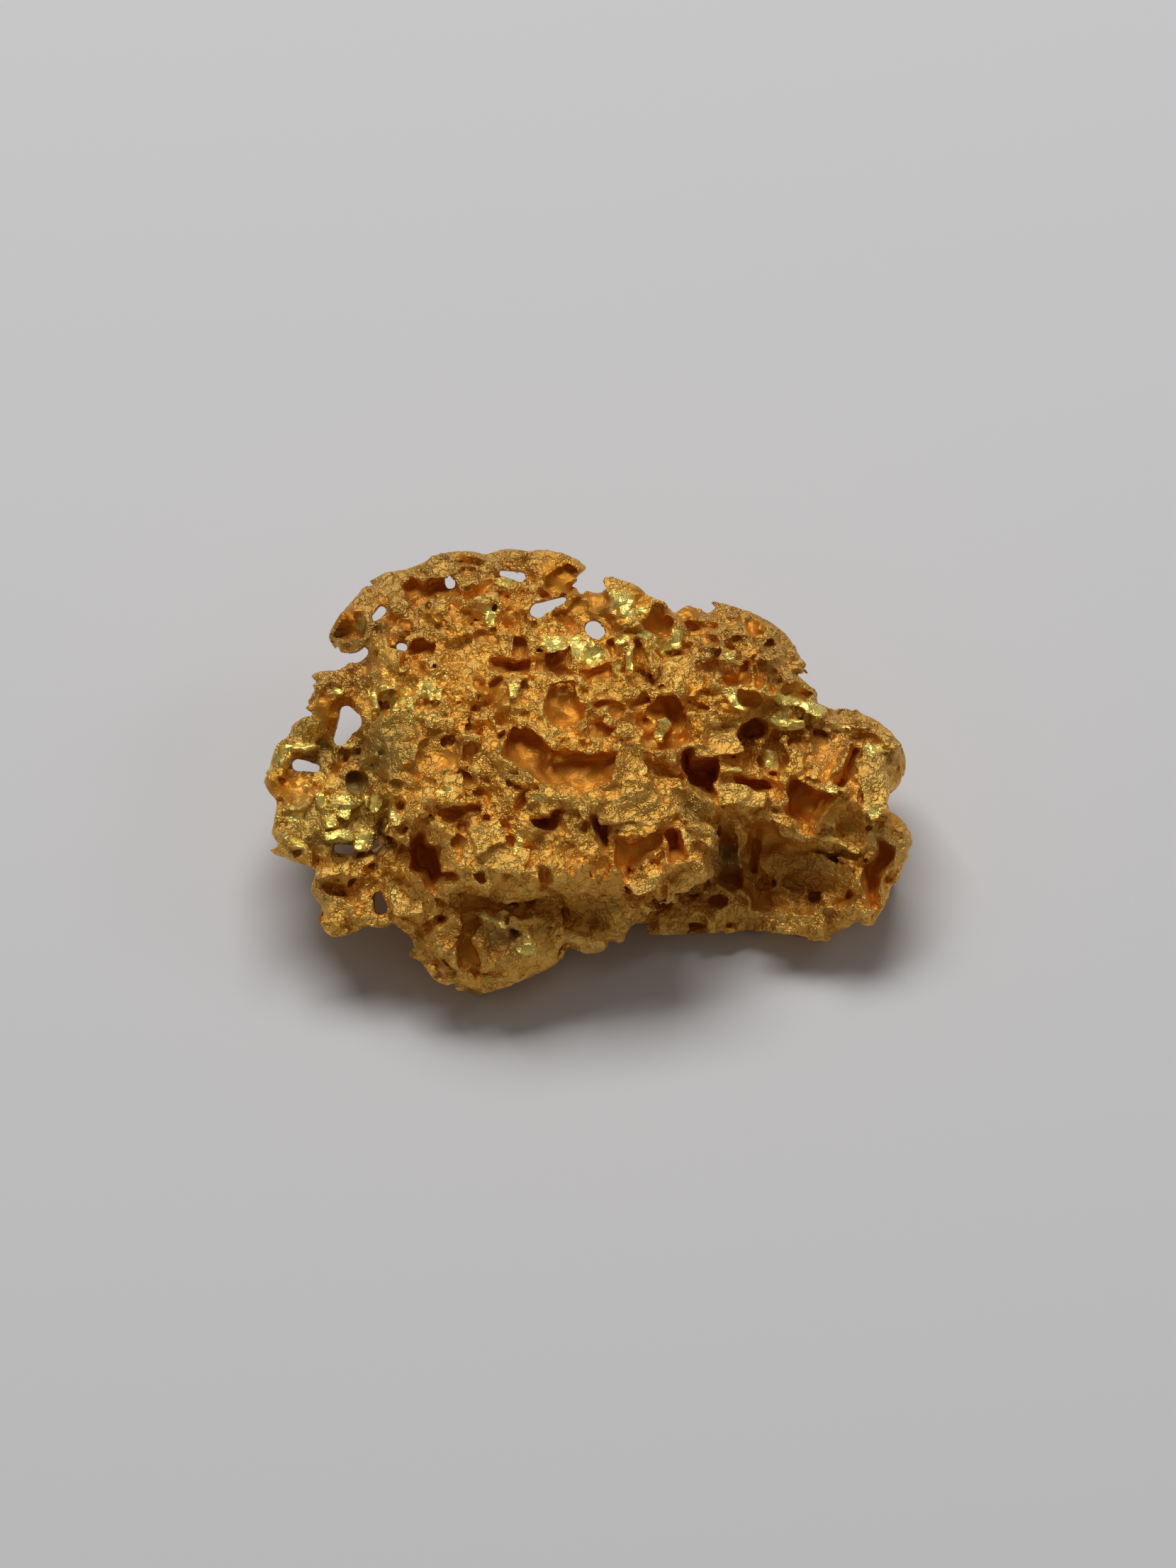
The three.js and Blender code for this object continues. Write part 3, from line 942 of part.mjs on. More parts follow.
// Thins the triangles by joining the ends of one edge after another, the least important edge first.
// An edge's cost is the squared distance to the planes of the triangles that it stands for.
function thin({ points, faces }, wanted) {
  const around = points.map(() => new Set());
  faces.forEach((f, n) => f.forEach((m) => around[m].add(n)));
  const alive = faces.map(() => true);
  const stamp = points.map(() => 0);
  const planeOf = ([a, b, c]) => {
    const [pa, pb, pc] = [points[a], points[b], points[c]];
    const [e, f] = [pb.map((x, k) => x - pa[k]), pc.map((x, k) => x - pa[k])];
    const n = [e[1] * f[2] - e[2] * f[1], e[2] * f[0] - e[0] * f[2], e[0] * f[1] - e[1] * f[0]];
    const size = Math.hypot(...n);
    return { n: n.map((x) => x / (size || 1)), area: size / 2, at: pa };
  };
  const quadrics = points.map(() => new Float64Array(10));
  for (const f of faces) {
    const { n, area, at } = planeOf(f);
    const d = -(n[0] * at[0] + n[1] * at[1] + n[2] * at[2]);
    const q = [...n, d];
    const terms = [];
    for (let i = 0; i < 4; i++) {
      for (let j = i; j < 4; j++) {
        terms.push(q[i] * q[j] * area);
      }
    }
    for (const m of f) {
      terms.forEach((x, k) => (quadrics[m][k] += x));
    }
  }
  const cost = (q, [x, y, z]) =>
    q[0] * x * x + 2 * q[1] * x * y + 2 * q[2] * x * z + 2 * q[3] * x + q[4] * y * y +
    2 * q[5] * y * z + 2 * q[6] * y + q[7] * z * z + 2 * q[8] * z + q[9];
  const EVEN = 1e-4; // a small pull to the middle of the edge, so that flat stretches stay regular
  const bestPlace = (a, b) => {
    const q = quadrics[a].map((x, k) => x + quadrics[b][k]);
    const mid = points[a].map((x, k) => (x + points[b][k]) / 2);
    const [xx, xy, xz, xd, yy, yz, yd, zz, zd] = q;
    const [A, B, C] = [xx + EVEN, yy + EVEN, zz + EVEN];
    const r = [EVEN * mid[0] - xd, EVEN * mid[1] - yd, EVEN * mid[2] - zd];
    const det = A * (B * C - yz * yz) - xy * (xy * C - yz * xz) + xz * (xy * yz - B * xz);
    const solved = [
      (r[0] * (B * C - yz * yz) - xy * (r[1] * C - yz * r[2]) + xz * (r[1] * yz - B * r[2])) / det,
      (A * (r[1] * C - yz * r[2]) - r[0] * (xy * C - yz * xz) + xz * (xy * r[2] - r[1] * xz)) / det,
      (A * (B * r[2] - r[1] * yz) - xy * (xy * r[2] - r[1] * xz) + r[0] * (xy * yz - B * xz)) / det,
    ];
    const far = Math.hypot(...solved.map((x, k) => x - mid[k]));
    const length = Math.hypot(...points[a].map((x, k) => x - points[b][k]));
    const at = far < 2 * length ? solved : mid;
    return { at, cost: cost(q, at) + EVEN * length * length };
  };
  const heap = [];
  const push = (item) => {
    let n = heap.push(item) - 1;
    while (n > 0 && heap[(n - 1) >> 1].cost > item.cost) {
      heap[n] = heap[(n - 1) >> 1];
      n = (n - 1) >> 1;
    }
    heap[n] = item;
  };
  const pop = () => {
    const top = heap[0];
    const last = heap.pop();
    if (!heap.length) return top;
    let n = 0;
    for (let child = 1; child < heap.length; child = 2 * n + 1) {
      if (child + 1 < heap.length && heap[child + 1].cost < heap[child].cost) child++;
      if (heap[child].cost >= last.cost) break;
      heap[n] = heap[child];
      n = child;
    }
    heap[n] = last;
    return top;
  };
  const offer = (a, b) => push({ a, b, stamps: stamp[a] + stamp[b], ...bestPlace(a, b) });
  const neighbours = (m) => new Set([...around[m]].flatMap((n) => faces[n]).filter((x) => x !== m));
  for (const f of faces) {
    for (let k = 0; k < 3; k++) {
      const other = f[(k + 1) % 3];
      if (f[k] < other) offer(f[k], other);
    }
  }
  let left = faces.length;
  const gone = points.map(() => false);
  while (left > wanted && heap.length) {
    const { a, b, stamps, at } = pop();
    if (gone[a] || gone[b] || stamps !== stamp[a] + stamp[b]) continue;
    const nb = neighbours(b);
    if ([...neighbours(a)].filter((m) => nb.has(m)).length !== 2) continue;
    const shared = [...around[a]].filter((n) => around[b].has(n));
    const moved = [...around[a], ...around[b]].filter((n) => !shared.includes(n));
    const turned = moved.some((n) => {
      const before = planeOf(faces[n]);
      const kept = [points[a], points[b]];
      points[a] = at;
      points[b] = at;
      const after = planeOf(faces[n]);
      [points[a], points[b]] = kept;
      const dot = before.n.reduce((sum, x, k) => sum + x * after.n[k], 0);
      return dot < 0.3 || after.area < 1e-4;
    });
    if (turned) continue;
    points[a] = at;
    quadrics[b].forEach((x, k) => (quadrics[a][k] += x));
    for (const n of shared) {
      alive[n] = false;
      faces[n].forEach((m) => around[m].delete(n));
      left--;
    }
    for (const n of around[b]) {
      faces[n] = faces[n].map((m) => (m === b ? a : m));
      around[a].add(n);
    }
    gone[b] = true;
    stamp[a] += 1 + stamp[b];
    for (const m of neighbours(a)) {
      offer(a, m);
    }
  }
  return { points, faces: faces.filter((f, n) => alive[n]) };
}

// From the picture plane's frame to the nugget's own, at its real length
function geometryOf({ points, faces }) {
  const scale = LENGTH / MEASURED_LENGTH;
  const position = faces.flatMap((f) => f.flatMap((m) => toPart(...points[m]).map((c) => c * scale)));
  const made = new THREE.BufferGeometry();
  made.setAttribute("position", new THREE.Float32BufferAttribute(position, 3));
  return mergeVertices(made);
}

const wasm = await Module();
wasm.setup();
const solidOf = (geometry) =>
  new wasm.Manifold(
    new wasm.Mesh({
      numProp: 3,
      vertProperties: geometry.attributes.position.array,
      triVerts: new Uint32Array(geometry.index.array),
    }),
  );

// Cuts the feet flat at the table
function cutFeet(geometry) {
  const block = new THREE.BoxGeometry(FEET_CUT, FEET_CUT, FEET_CUT).translate(0, 0, FEET_CUT / 2);
  block.deleteAttribute("normal");
  block.deleteAttribute("uv");
  const mesh = solidOf(geometry).intersect(solidOf(mergeVertices(block))).getMesh();
  const made = new THREE.BufferGeometry();
  made.setAttribute("position", new THREE.BufferAttribute(mesh.vertProperties, 3));
  made.setIndex(new THREE.BufferAttribute(mesh.triVerts, 1));
  return made;
}

const values = sampleField();
keepOnePiece(values);
closeCorners(values);
fillBubbles(values);
closeCorners(values);
const nuggetGeometry = cutFeet(geometryOf(thin(drawSurface(values), TRIANGLES)));

// The origin goes under the middle of the box
nuggetGeometry.computeBoundingBox();
const middle = nuggetGeometry.boundingBox.getCenter(new THREE.Vector3());
nuggetGeometry.translate(-middle.x, -middle.y, 0);

const gold = new THREE.MeshStandardMaterial({ color: 0xc98d2e, roughness: 0.38, metalness: 1 });
const nugget = new THREE.Mesh(nuggetGeometry, gold);
nugget.name = "nugget";

const part = new THREE.Group();
part.add(nugget);
export default part;
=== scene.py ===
import math

import bpy
import numpy as np
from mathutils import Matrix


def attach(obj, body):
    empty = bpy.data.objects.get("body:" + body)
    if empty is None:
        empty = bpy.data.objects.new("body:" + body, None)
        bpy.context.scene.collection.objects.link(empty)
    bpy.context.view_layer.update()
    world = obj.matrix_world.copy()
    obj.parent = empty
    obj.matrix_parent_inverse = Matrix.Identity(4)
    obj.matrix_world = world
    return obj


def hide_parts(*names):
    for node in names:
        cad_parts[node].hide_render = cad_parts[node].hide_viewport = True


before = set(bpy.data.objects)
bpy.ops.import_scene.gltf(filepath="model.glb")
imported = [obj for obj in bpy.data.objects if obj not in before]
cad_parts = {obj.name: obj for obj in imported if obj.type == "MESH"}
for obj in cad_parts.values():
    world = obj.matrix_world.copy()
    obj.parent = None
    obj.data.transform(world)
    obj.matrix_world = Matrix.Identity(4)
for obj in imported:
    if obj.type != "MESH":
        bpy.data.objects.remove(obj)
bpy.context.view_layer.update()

# The nugget is one lump of native gold that grew in a quartz vein. It is a crust of rounded lobes
# over a solid core, with a thin rim that runs out into wings at the back and a lacy sheet at the
# left. The quartz has gone, and each crystal of it left a flat-sided hollow in the gold.
#
# The shape is measured in a picture plane, in millimetres: u to the right, v up the picture from
# the nugget's middle, and w towards the eye. One field over that space, negative inside the gold,
# holds the whole shape.

MM = 0.001
LENGTH = 24.0
MEASURED_LENGTH = 23.79  # tip to tip, in the units of the lists below
LOOK_DOWN = math.radians(55)  # the eye is this far above the table
SIN = math.sin(LOOK_DOWN)
COS = math.cos(LOOK_DOWN)

# Lobes of gold: name, centre [x, y, z] over the table, half sizes
LOBES = [
    ("core", (-1.0, -2.8, 4.2), (7.2, 5.4, 3.5)),
    ("left shoulder", (-5.6, -0.6, 5.2), (2.9, 3.4, 2.1)),
    ("left front", (-5.0, -6.2, 3.7), (2.3, 2.4, 2.3)),
    ("back wing", (-4.0, 2.7, 6.3), (5.6, 2.9, 1.1)),
    ("middle fin", (1.3, 1.4, 6.3), (2.7, 2.8, 1.5)),
    ("right arc", (5.6, 0.2, 5.5), (3.3, 2.9, 1.9)),
    ("waist", (5.4, -3.6, 2.8), (3.4, 2.7, 2.5)),
    ("right lobe", (8.7, -3.4, 3.6), (3.3, 2.9, 2.2)),
    ("right foot", (8.8, -4.0, 1.6), (2.6, 2.6, 2.4)),
    ("upper knuckle", (10.1, -2.2, 3.6), (1.9, 2.2, 2.0)),
    ("lower knuckle", (10.7, -5.0, 2.6), (1.4, 1.9, 1.9)),
    ("right heel", (8.6, -6.2, 0.9), (2.7, 1.8, 1.2)),
    ("front shelf", (4.6, -6.8, 0.8), (3.8, 1.0, 0.9)),
    ("chin", (0.4, -7.6, 2.7), (2.3, 1.6, 1.6)),
    ("front lump", (-3.5, -8.7, 1.9), (2.8, 2.0, 2.1)),
    ("inner wall", (4.4, -5.2, 1.8), (2.0, 1.6, 1.9)),
    ("beak", (3.2, -7.0, 4.7), (1.6, 1.6, 1.5)),
    ("brow", (-2.0, -6.4, 5.1), (4.6, 2.6, 1.6)),
    ("left foot tab", (-8.3, -7.1, 2.4), (2.0, 1.5, 1.0)),
    ("lacy sheet", (-9.2, -3.4, 4.0), (3.2, 3.6, 0.8)),
    ("left spur", (-8.8, 0.1, 5.2), (1.9, 1.2, 0.8)),
    ("back heel", (-2.6, 0.6, 1.6), (2.6, 2.2, 1.9)),
]
LOBE_BLEND = 0.8  # how far two lobes flow into each other

# The outline in the picture plane, clockwise from the left tip
OUTLINE = [
    (-12.0, -0.25), (-11.5, 0.05), (-11.2, 0.9), (-10.8, 1.3), (-10.65, 1.7), (-10.2, 1.95),
    (-9.85, 2.05), (-10.25, 2.35), (-10.28, 2.65), (-10.0, 2.95), (-10.3, 3.2), (-9.9, 3.55),
    (-9.4, 3.68), (-9.0, 3.65), (-8.6, 3.93), (-8.15, 4.0), (-7.85, 4.35), (-8.0, 4.55), (-8.3, 4.35),
    (-8.85, 4.33), (-9.2, 4.6), (-9.32, 4.95), (-9.1, 5.45), (-8.5, 6.25), (-7.9, 6.95), (-7.4, 7.25),
    (-6.5, 7.42), (-5.9, 7.65), (-5.3, 8.0), (-4.6, 8.07), (-4.1, 8.1), (-3.6, 7.98), (-2.8, 8.2),
    (-2.0, 8.08), (-1.5, 8.16), (-0.6, 7.95), (0.0, 7.68), (0.32, 7.4), (-0.12, 7.12), (-0.25, 6.8),
    (-0.05, 6.47), (0.15, 6.66), (0.55, 6.76), (0.75, 7.0), (1.0, 7.12), (1.6, 6.95), (2.15, 6.7),
    (2.5, 6.35), (3.0, 6.15), (3.4, 5.78), (3.6, 6.0), (4.2, 6.08), (4.85, 6.0), (4.75, 6.2),
    (5.5, 6.05), (6.5, 5.65), (7.2, 5.25), (7.7, 4.7), (8.0, 4.2), (8.4, 3.65), (8.48, 3.3), (8.2, 3.52),
    (7.8, 3.6), (8.1, 3.28), (8.6, 2.85), (8.85, 2.35), (9.3, 2.27), (9.95, 2.3), (10.2, 2.08),
    (10.8, 1.83), (11.4, 1.25), (11.78, 0.65), (11.83, 0.1), (11.6, -0.6), (11.22, -0.87), (11.15, -1.4),
    (11.55, -1.68), (11.95, -2.2), (12.03, -2.7), (11.7, -3.6), (11.3, -4.3), (11.0, -5.0), (10.6, -5.6),
    (10.2, -5.75), (10.0, -5.62), (9.85, -5.9), (9.3, -6.22), (8.2, -6.2), (7.6, -6.0), (6.2, -5.9),
    (4.5, -5.97), (2.6, -6.0), (1.95, -5.85), (1.4, -6.25), (0.4, -6.67), (-0.1, -6.6), (-0.55, -6.43),
    (-0.65, -6.75), (-1.2, -7.2), (-2.4, -7.72), (-3.8, -8.2), (-4.4, -8.12), (-5.3, -7.65),
    (-5.95, -6.95), (-6.35, -6.75), (-6.15, -6.4), (-6.3, -6.02), (-7.0, -5.8), (-7.8, -5.72),
    (-8.8, -6.05), (-9.3, -6.0), (-9.68, -5.6), (-9.55, -5.0), (-9.88, -4.4), (-9.72, -3.65),
    (-10.6, -3.3), (-11.25, -3.1), (-11.45, -2.92), (-11.1, -2.75), (-11.33, -2.3), (-11.22, -1.7),
    (-11.2, -1.1), (-11.6, -0.7),
]
OUTLINE_STEPS = 3  # straight steps from each point to the next
EDGE_ROUND = 0.5  # between the lobes and the outline's wall

# The rim that carries the outline: [u, v], height of its middle over the table, half its thickness
RIM = [
    ((-12.0, -0.3), 4.6, 0.45),
    ((-10.6, 1.7), 5.0, 0.4),
    ((-10.2, 3.0), 5.3, 0.45),
    ((-8.5, 4.0), 5.8, 0.5),
    ((-9.3, 5.0), 6.0, 0.5),
    ((-7.5, 7.2), 6.2, 0.55),
    ((-5.0, 8.0), 6.4, 0.5),
    ((-2.5, 8.1), 6.6, 0.45),
    ((0.2, 7.4), 6.7, 0.4),
    ((1.2, 7.0), 6.6, 0.6),
    ((3.4, 5.9), 6.4, 0.7),
    ((5.0, 6.0), 6.1, 0.6),
    ((7.5, 5.0), 5.8, 0.6),
    ((8.4, 3.4), 5.4, 0.55),
    ((9.3, 2.3), 5.0, 0.7),
    ((11.7, 0.7), 4.4, 0.8),
    ((11.2, -1.0), 4.0, 0.8),
    ((12.0, -2.6), 3.4, 0.9),
    ((11.0, -5.0), 2.4, 0.9),
    ((10.0, -5.7), 1.6, 0.8),
    ((8.5, -6.2), 0.8, 0.8),
    ((6.0, -5.9), 0.8, 0.6),
    ((3.0, -5.9), 0.9, 0.6),
    ((1.5, -6.2), 2.2, 0.7),
    ((0.0, -6.6), 2.4, 0.7),
    ((-1.0, -7.0), 2.2, 0.7),
    ((-3.8, -8.1), 1.4, 0.9),
    ((-5.8, -7.1), 2.0, 0.8),
    ((-6.5, -6.0), 2.4, 0.7),
    ((-8.8, -6.0), 2.4, 0.6),
    ((-9.7, -5.0), 2.9, 0.6),
    ((-10.5, -3.3), 3.4, 0.45),
    ((-11.4, -2.9), 3.6, 0.4),
    ((-11.3, -1.5), 4.1, 0.4),
]
RIM_BLEND = 1.5  # how far one place of the rim flows into the next

# Slow swells of the crust: height, spacing, phase
SWELLS = [
    (0.22, 1.1, 0.7),
    (0.1, 0.5, 2.3),
]

CELL = 0.1  # between two points of the grid that the field is worked out on
MARGIN = 0.6  # grid beyond the outline on each side
LOW = np.array([-12.1 - MARGIN, -8.3 - MARGIN, -2.2])
HIGH = np.array([12.1 + MARGIN, 8.3 + MARGIN, 10.4])
COUNT = np.ceil((HIGH - LOW) / CELL).astype(int) + 1

U = (LOW[0] + CELL * np.arange(COUNT[0]))[:, None, None].astype(np.float32)
V = (LOW[1] + CELL * np.arange(COUNT[1]))[None, :, None].astype(np.float32)
W = (LOW[2] + CELL * np.arange(COUNT[2]))[None, None, :].astype(np.float32)
X = U
Y = V * SIN - W * COS
Z = V * COS + W * SIN


def smooth_max(a, b, k):
    """The larger of two fields, rounded over k where they meet."""
    h = np.maximum(k - np.abs(a - b), 0) / k
    return np.maximum(a, b) + h * h * (k / 4)


def smooth_min(a, b, k):
    """The smaller of two fields, rounded over k where they meet."""
    return -smooth_max(-a, -b, k)


def wave(x, y, z, spacing, phase):
    """A slow, smooth wave through space, from -1 to 1."""
    a, b, c = x / spacing, y / spacing, z / spacing
    return (
        np.sin(1.7 * a + 2.1 * np.sin(1.3 * b + phase) + phase)
        + np.sin(1.9 * b + 1.7 * np.sin(1.1 * c + 2 * phase))
        + np.sin(1.6 * c + 1.9 * np.sin(1.2 * a + 3 * phase))
    ) / 3


def ellipsoid(offsets, half):
    """Signed distance to an ellipsoid, near enough close to it."""
    scaled = [o / h for o, h in zip(offsets, half)]
    near = np.sqrt(scaled[0] ** 2 + (scaled[1] ** 2 + scaled[2] ** 2)) + 1e-6
    far = np.sqrt((scaled[0] / half[0]) ** 2 + ((scaled[1] / half[1]) ** 2 + (scaled[2] / half[2]) ** 2))
    return near * (near - 1) / (far + 1e-6)


def smooth_loop(points, steps):
    """A closed curve through the points, which slows down where they lie close together."""
    p1 = np.array(points, float)
    p0, p2, p3 = np.roll(p1, 1, 0), np.roll(p1, -1, 0), np.roll(p1, -2, 0)
    gap = [np.sqrt(np.linalg.norm(b - a, axis=1))[:, None] for a, b in ((p0, p1), (p1, p2), (p2, p3))]
    leave = (p1 - p0) / gap[0] - (p2 - p0) / (gap[0] + gap[1]) + (p2 - p1) / gap[1]
    arrive = (p2 - p1) / gap[1] - (p3 - p1) / (gap[1] + gap[2]) + (p3 - p2) / gap[2]
    leave, arrive = leave * gap[1], arrive * gap[1]
    square = 3 * (p2 - p1) - 2 * leave - arrive
    cube = 2 * (p1 - p2) + leave + arrive
    rows = [p1 + leave * t + square * t**2 + cube * t**3 for t in np.arange(steps) / steps]
    return np.stack(rows, 1).reshape(-1, 2)


def loop_distance(u, v, loop):
    """Signed distance to a closed chain of straight steps, negative inside."""
    nearest = np.full(u.shape, 1e9)
    inside = np.zeros(u.shape, bool)
    for (au, av), (bu, bv) in zip(np.roll(loop, 1, 0), loop):
        eu, ev = bu - au, bv - av
        t = np.clip(((u - au) * eu + (v - av) * ev) / (eu * eu + ev * ev), 0, 1)
        nearest = np.minimum(nearest, np.hypot(u - au - t * eu, v - av - t * ev))
        if av != bv:
            inside ^= ((av > v) != (bv > v)) & (u < au + eu * (v - av) / ev)
    return np.where(inside, -nearest, nearest)


lobes = None
for _, at, half in LOBES:
    lobe = ellipsoid([X - at[0], Y - at[1], Z - at[2]], half)
    lobes = lobe if lobes is None else smooth_min(lobes, lobe, LOBE_BLEND)
for height, spacing, phase in SWELLS:
    lobes += height * wave(X, Y, Z, spacing, phase)

plane_u, plane_v = np.broadcast_arrays(U[:, :, 0], V[:, :, 0])
outline = smooth_loop(OUTLINE, OUTLINE_STEPS)
edge = loop_distance(plane_u, plane_v, outline)

weight_sum, rim_depth, rim_half = 0, 0, 0
for at, height, half in RIM:
    far = ((plane_u - at[0]) ** 2 + (plane_v - at[1]) ** 2) / RIM_BLEND**2
    weight = np.exp(-far) + 1e-6 / (1 + far)
    weight_sum = weight_sum + weight
    rim_depth = rim_depth + weight * (height - at[1] * COS) / SIN
    rim_half = rim_half + weight * half
rim_depth, rim_half = rim_depth / weight_sum, rim_half / weight_sum

edge3 = edge[:, :, None].astype(np.float32)
rim3 = rim_half[:, :, None].astype(np.float32)
bead = np.sqrt((edge3 + rim3) ** 2 + (W - rim_depth[:, :, None].astype(np.float32)) ** 2) - rim3
crust = smooth_min(smooth_max(lobes, edge3, EDGE_ROUND), bead, LOBE_BLEND / 2)
del lobes, bead


# The crust itself is built of plates: patches a millimetre or so across, each a little higher or
# lower than the next and turned its own way, with a crisp step between them. Smaller plates of the
# same kind lie on the large ones.

# Plates: spacing, height, tilt, width of the step between two, seed
PLATES = (1.2, 0.26, 0.3, 0.06, 3)
FINE_PLATES = (0.45, 0.06, 0.2, 0.04, 9)
PLATE_WARP = (0.3, 0.55)  # how far the plates' outlines wander: height, spacing
PLATE_REACH = 0.7  # how far from the surface the plates matter


def scatter(i, j, k, n):
    """A number from 0 to 1 that looks random, the same each time for one cell."""
    s = np.sin(i * 12.9898 + j * 78.233 + k * 37.719 + n * 4.581) * 43758.5453
    return s - np.floor(s)


def plates(place, spacing, height, tilt, step, seed):
    """Height of the plates at each place, a row of three numbers."""
    u, v, w = place.T
    warp = [wave(u, v, w, PLATE_WARP[1], phase) for phase in (4, 5, 6)]
    place = place + PLATE_WARP[0] * np.stack(warp, 1)
    cell = np.floor(place / spacing).astype(int)
    low = cell.min(0) - 1
    spans = [np.arange(a, b + 2) for a, b in zip(low, cell.max(0))]
    i, j, k = np.meshgrid(*spans, indexing="ij")
    seats = np.stack([(x + scatter(i, j, k, seed + n)) * spacing for n, x in enumerate((i, j, k))], -1)
    rise = height * (2 * scatter(i, j, k, seed + 3) - 1)
    lean = np.stack([2 * scatter(i, j, k, seed + n) - 1 for n in (4, 5, 6)], -1) * tilt
    steps = [(a, b, c) for a in (-1, 0, 1) for b in (-1, 0, 1) for c in (-1, 0, 1)]
    nearest = np.full(len(place), 1e9)
    for near_cell in steps:
        at = tuple((cell - low + near_cell).T)
        nearest = np.minimum(nearest, np.linalg.norm(place - seats[at], axis=1))
    total, weight_sum = 0, 0
    for near_cell in steps:
        at = tuple((cell - low + near_cell).T)
        across = place - seats[at]
        weight = np.exp((nearest - np.linalg.norm(across, axis=1)) / step)
        total = total + weight * (rise[at] + (across * lean[at]).sum(1))
        weight_sum = weight_sum + weight
    return total / weight_sum


# Stretches of the crust that differ from the rest: middle [u, v] and radius of each. Amber ones are smooth
# and orange. Olive ones are smooth, with a greenish painted shade and painted reflection. Tan ones, mostly
# along the rim, and the darker ones on crust that faces down and forward are painted shade, duller than the
# rest. Calm ones have no pits, and shiny ones carry clean crystal faces, lower roughness and painted
# glints.
STRETCHES = {
    # painted shade: crust that faces down and forward, painted a darker brown
    "painted_shade_patch": [
        ((0.8, -5.4), 0.9), ((3.6, -5.5), 1.1), ((8.4, -4.4), 1.3), ((6.4, -5.0), 1.2),
        ((-5.4, -6.2), 0.7), ((-2.9, -6.2), 0.9), ((-1.4, -5.3), 0.7), ((5.2, -3.0), 0.9),
        ((9.0, -5.2), 1.1), ((0.45, 6.15), 0.9), ((7.0, -3.4), 1.0), ((4.8, -4.4), 0.9),
    ],
    # painted shade: mostly along the rim, painted a duller, darker tan
    "tan": [
        ((-8.4, 5.3), 1.2), ((-7.2, 6.9), 1.2), ((-5.4, 7.4), 1.2), ((-3.4, 7.4), 1.2),
        ((-1.4, 7.5), 1.2), ((4.2, 5.9), 1.0), ((5.6, 5.6), 1.2), ((7.2, 4.6), 1.2), ((8.2, 3.2), 1.0),
        ((9.6, 2.0), 0.9), ((11.0, 0.8), 1.0), ((5.0, 4.6), 1.4), ((-6.4, 5.8), 1.4),
        ((11.2, -2.6), 0.9), ((-9.6, 3.2), 1.0), ((-8.4, 3.6), 1.0), ((9.0, 0.9), 1.1),
        ((-9.6, -4.5), 0.6), ((-2.9, -6.2), 0.8), ((8.5, -3.8), 0.8),
    ],
    "amber": [
        ((-0.9, 7.1), 0.85), ((-0.3, 6.3), 0.5), ((0.4, 6.1), 0.75), ((1.3, 5.6), 0.4),
        ((2.8, 5.4), 0.6), ((2.0, 4.4), 0.35), ((0.95, 4.6), 0.3), ((-8.6, 5.5), 0.6),
        ((-3.3, 2.9), 0.5), ((0.5, 3.6), 0.55), ((8.9, -1.3), 0.5), ((3.9, 5.7), 0.4),
        ((-11.0, -0.6), 0.7), ((-4.1, -6.6), 0.5), ((6.0, 2.5), 0.5), ((-9.4, 2.2), 0.6),
        ((2.1, 6.4), 0.5), ((-5.6, 5.6), 0.4), ((-10.2, -0.9), 0.5), ((6.4, 5.2), 0.4),
    ],
    # smooth crust with painted shade and painted reflection, a dark greenish olive
    "smooth_and_painted_olive": [
        ((-7.4, 0.7), 1.2), ((-8.3, -0.5), 0.7), ((-9.6, 0.6), 0.8), ((-9.9, -1.9), 1.1),
        ((-8.2, -1.7), 1.3), ((4.1, -1.4), 0.6), ((5.4, -3.3), 0.6), ((-8.3, -0.4), 0.6),
        ((-10.3, 1.5), 0.7),
    ],
    "calm": [
        ((4.9, 1.4), 0.9), ((-5.2, 0.5), 0.9), ((10.7, -0.5), 1.0), ((1.6, 0.3), 0.8),
        ((-3.6, -2.9), 1.0), ((-4.3, 3.9), 1.0), ((3.6, 3.6), 1.1), ((0.5, -5.2), 1.3),
        ((-1.2, -3.0), 0.8), ((2.1, -1.3), 1.0), ((-6.3, -4.6), 0.8), ((3.9, -3.0), 0.9),
        ((8.4, -3.6), 1.7), ((7.2, -5.2), 1.3), ((9.2, -5.2), 1.2), ((5.6, -4.4), 1.2),
        ((-2.4, -6.6), 1.3), ((-4.9, -6.4), 1.0), ((3.8, -5.6), 1.0), ((-7.6, 6.6), 0.8),
        ((-5.2, 7.6), 0.9), ((-2.6, 7.7), 0.9), ((11.2, -2.6), 0.9), ((11.2, 1.0), 0.9),
        ((7.6, 4.6), 0.6), ((-7.8, -5.4), 1.2), ((-9.2, 3.4), 0.9), ((-6.8, 1.6), 0.9),
    ],
    # lower roughness, with painted glints: a paler yellow painted where highlights fall
    "shine_and_painted_glint": [
        ((-9.0, -1.6), 1.6), ((-10.6, 0.7), 0.7), ((-6.9, 2.6), 1.2), ((-5.2, 2.9), 0.7),
        ((7.4, 1.8), 0.7), ((8.2, 2.4), 0.7), ((-7.3, -4.2), 0.7), ((1.5, 6.1), 0.5),
    ],
}


def stretch_of(kind, u, v):
    """How much a place belongs to the stretches of one kind, from 0 to 1."""
    far = [((u - mu) ** 2 + (v - mv) ** 2) / radius**2 for (mu, mv), radius in STRETCHES[kind]]
    return np.exp(-(np.min(far, 0) ** 2))


def lay_plates(field, kind):
    """Raises and lowers the crust by plates of one kind."""
    shell = np.nonzero(np.abs(field) < PLATE_REACH)
    place = LOW + CELL * np.stack(shell, 1)
    field[shell] += plates(place, *kind)


lay_plates(crust, PLATES)

# Islands of crust stand between shallow pockets with ragged, steep sides, one or two steps deep
POCKET_WAVES = [(1.0, 0.42, 8), (0.4, 0.2, 9), (0.12, 0.11, 10)]  # weight, spacing, phase
POCKET_STEPS = [(0.05, 0.16, 0.03), (-0.4, 0.26, 0.03)]  # level, depth, width of the side


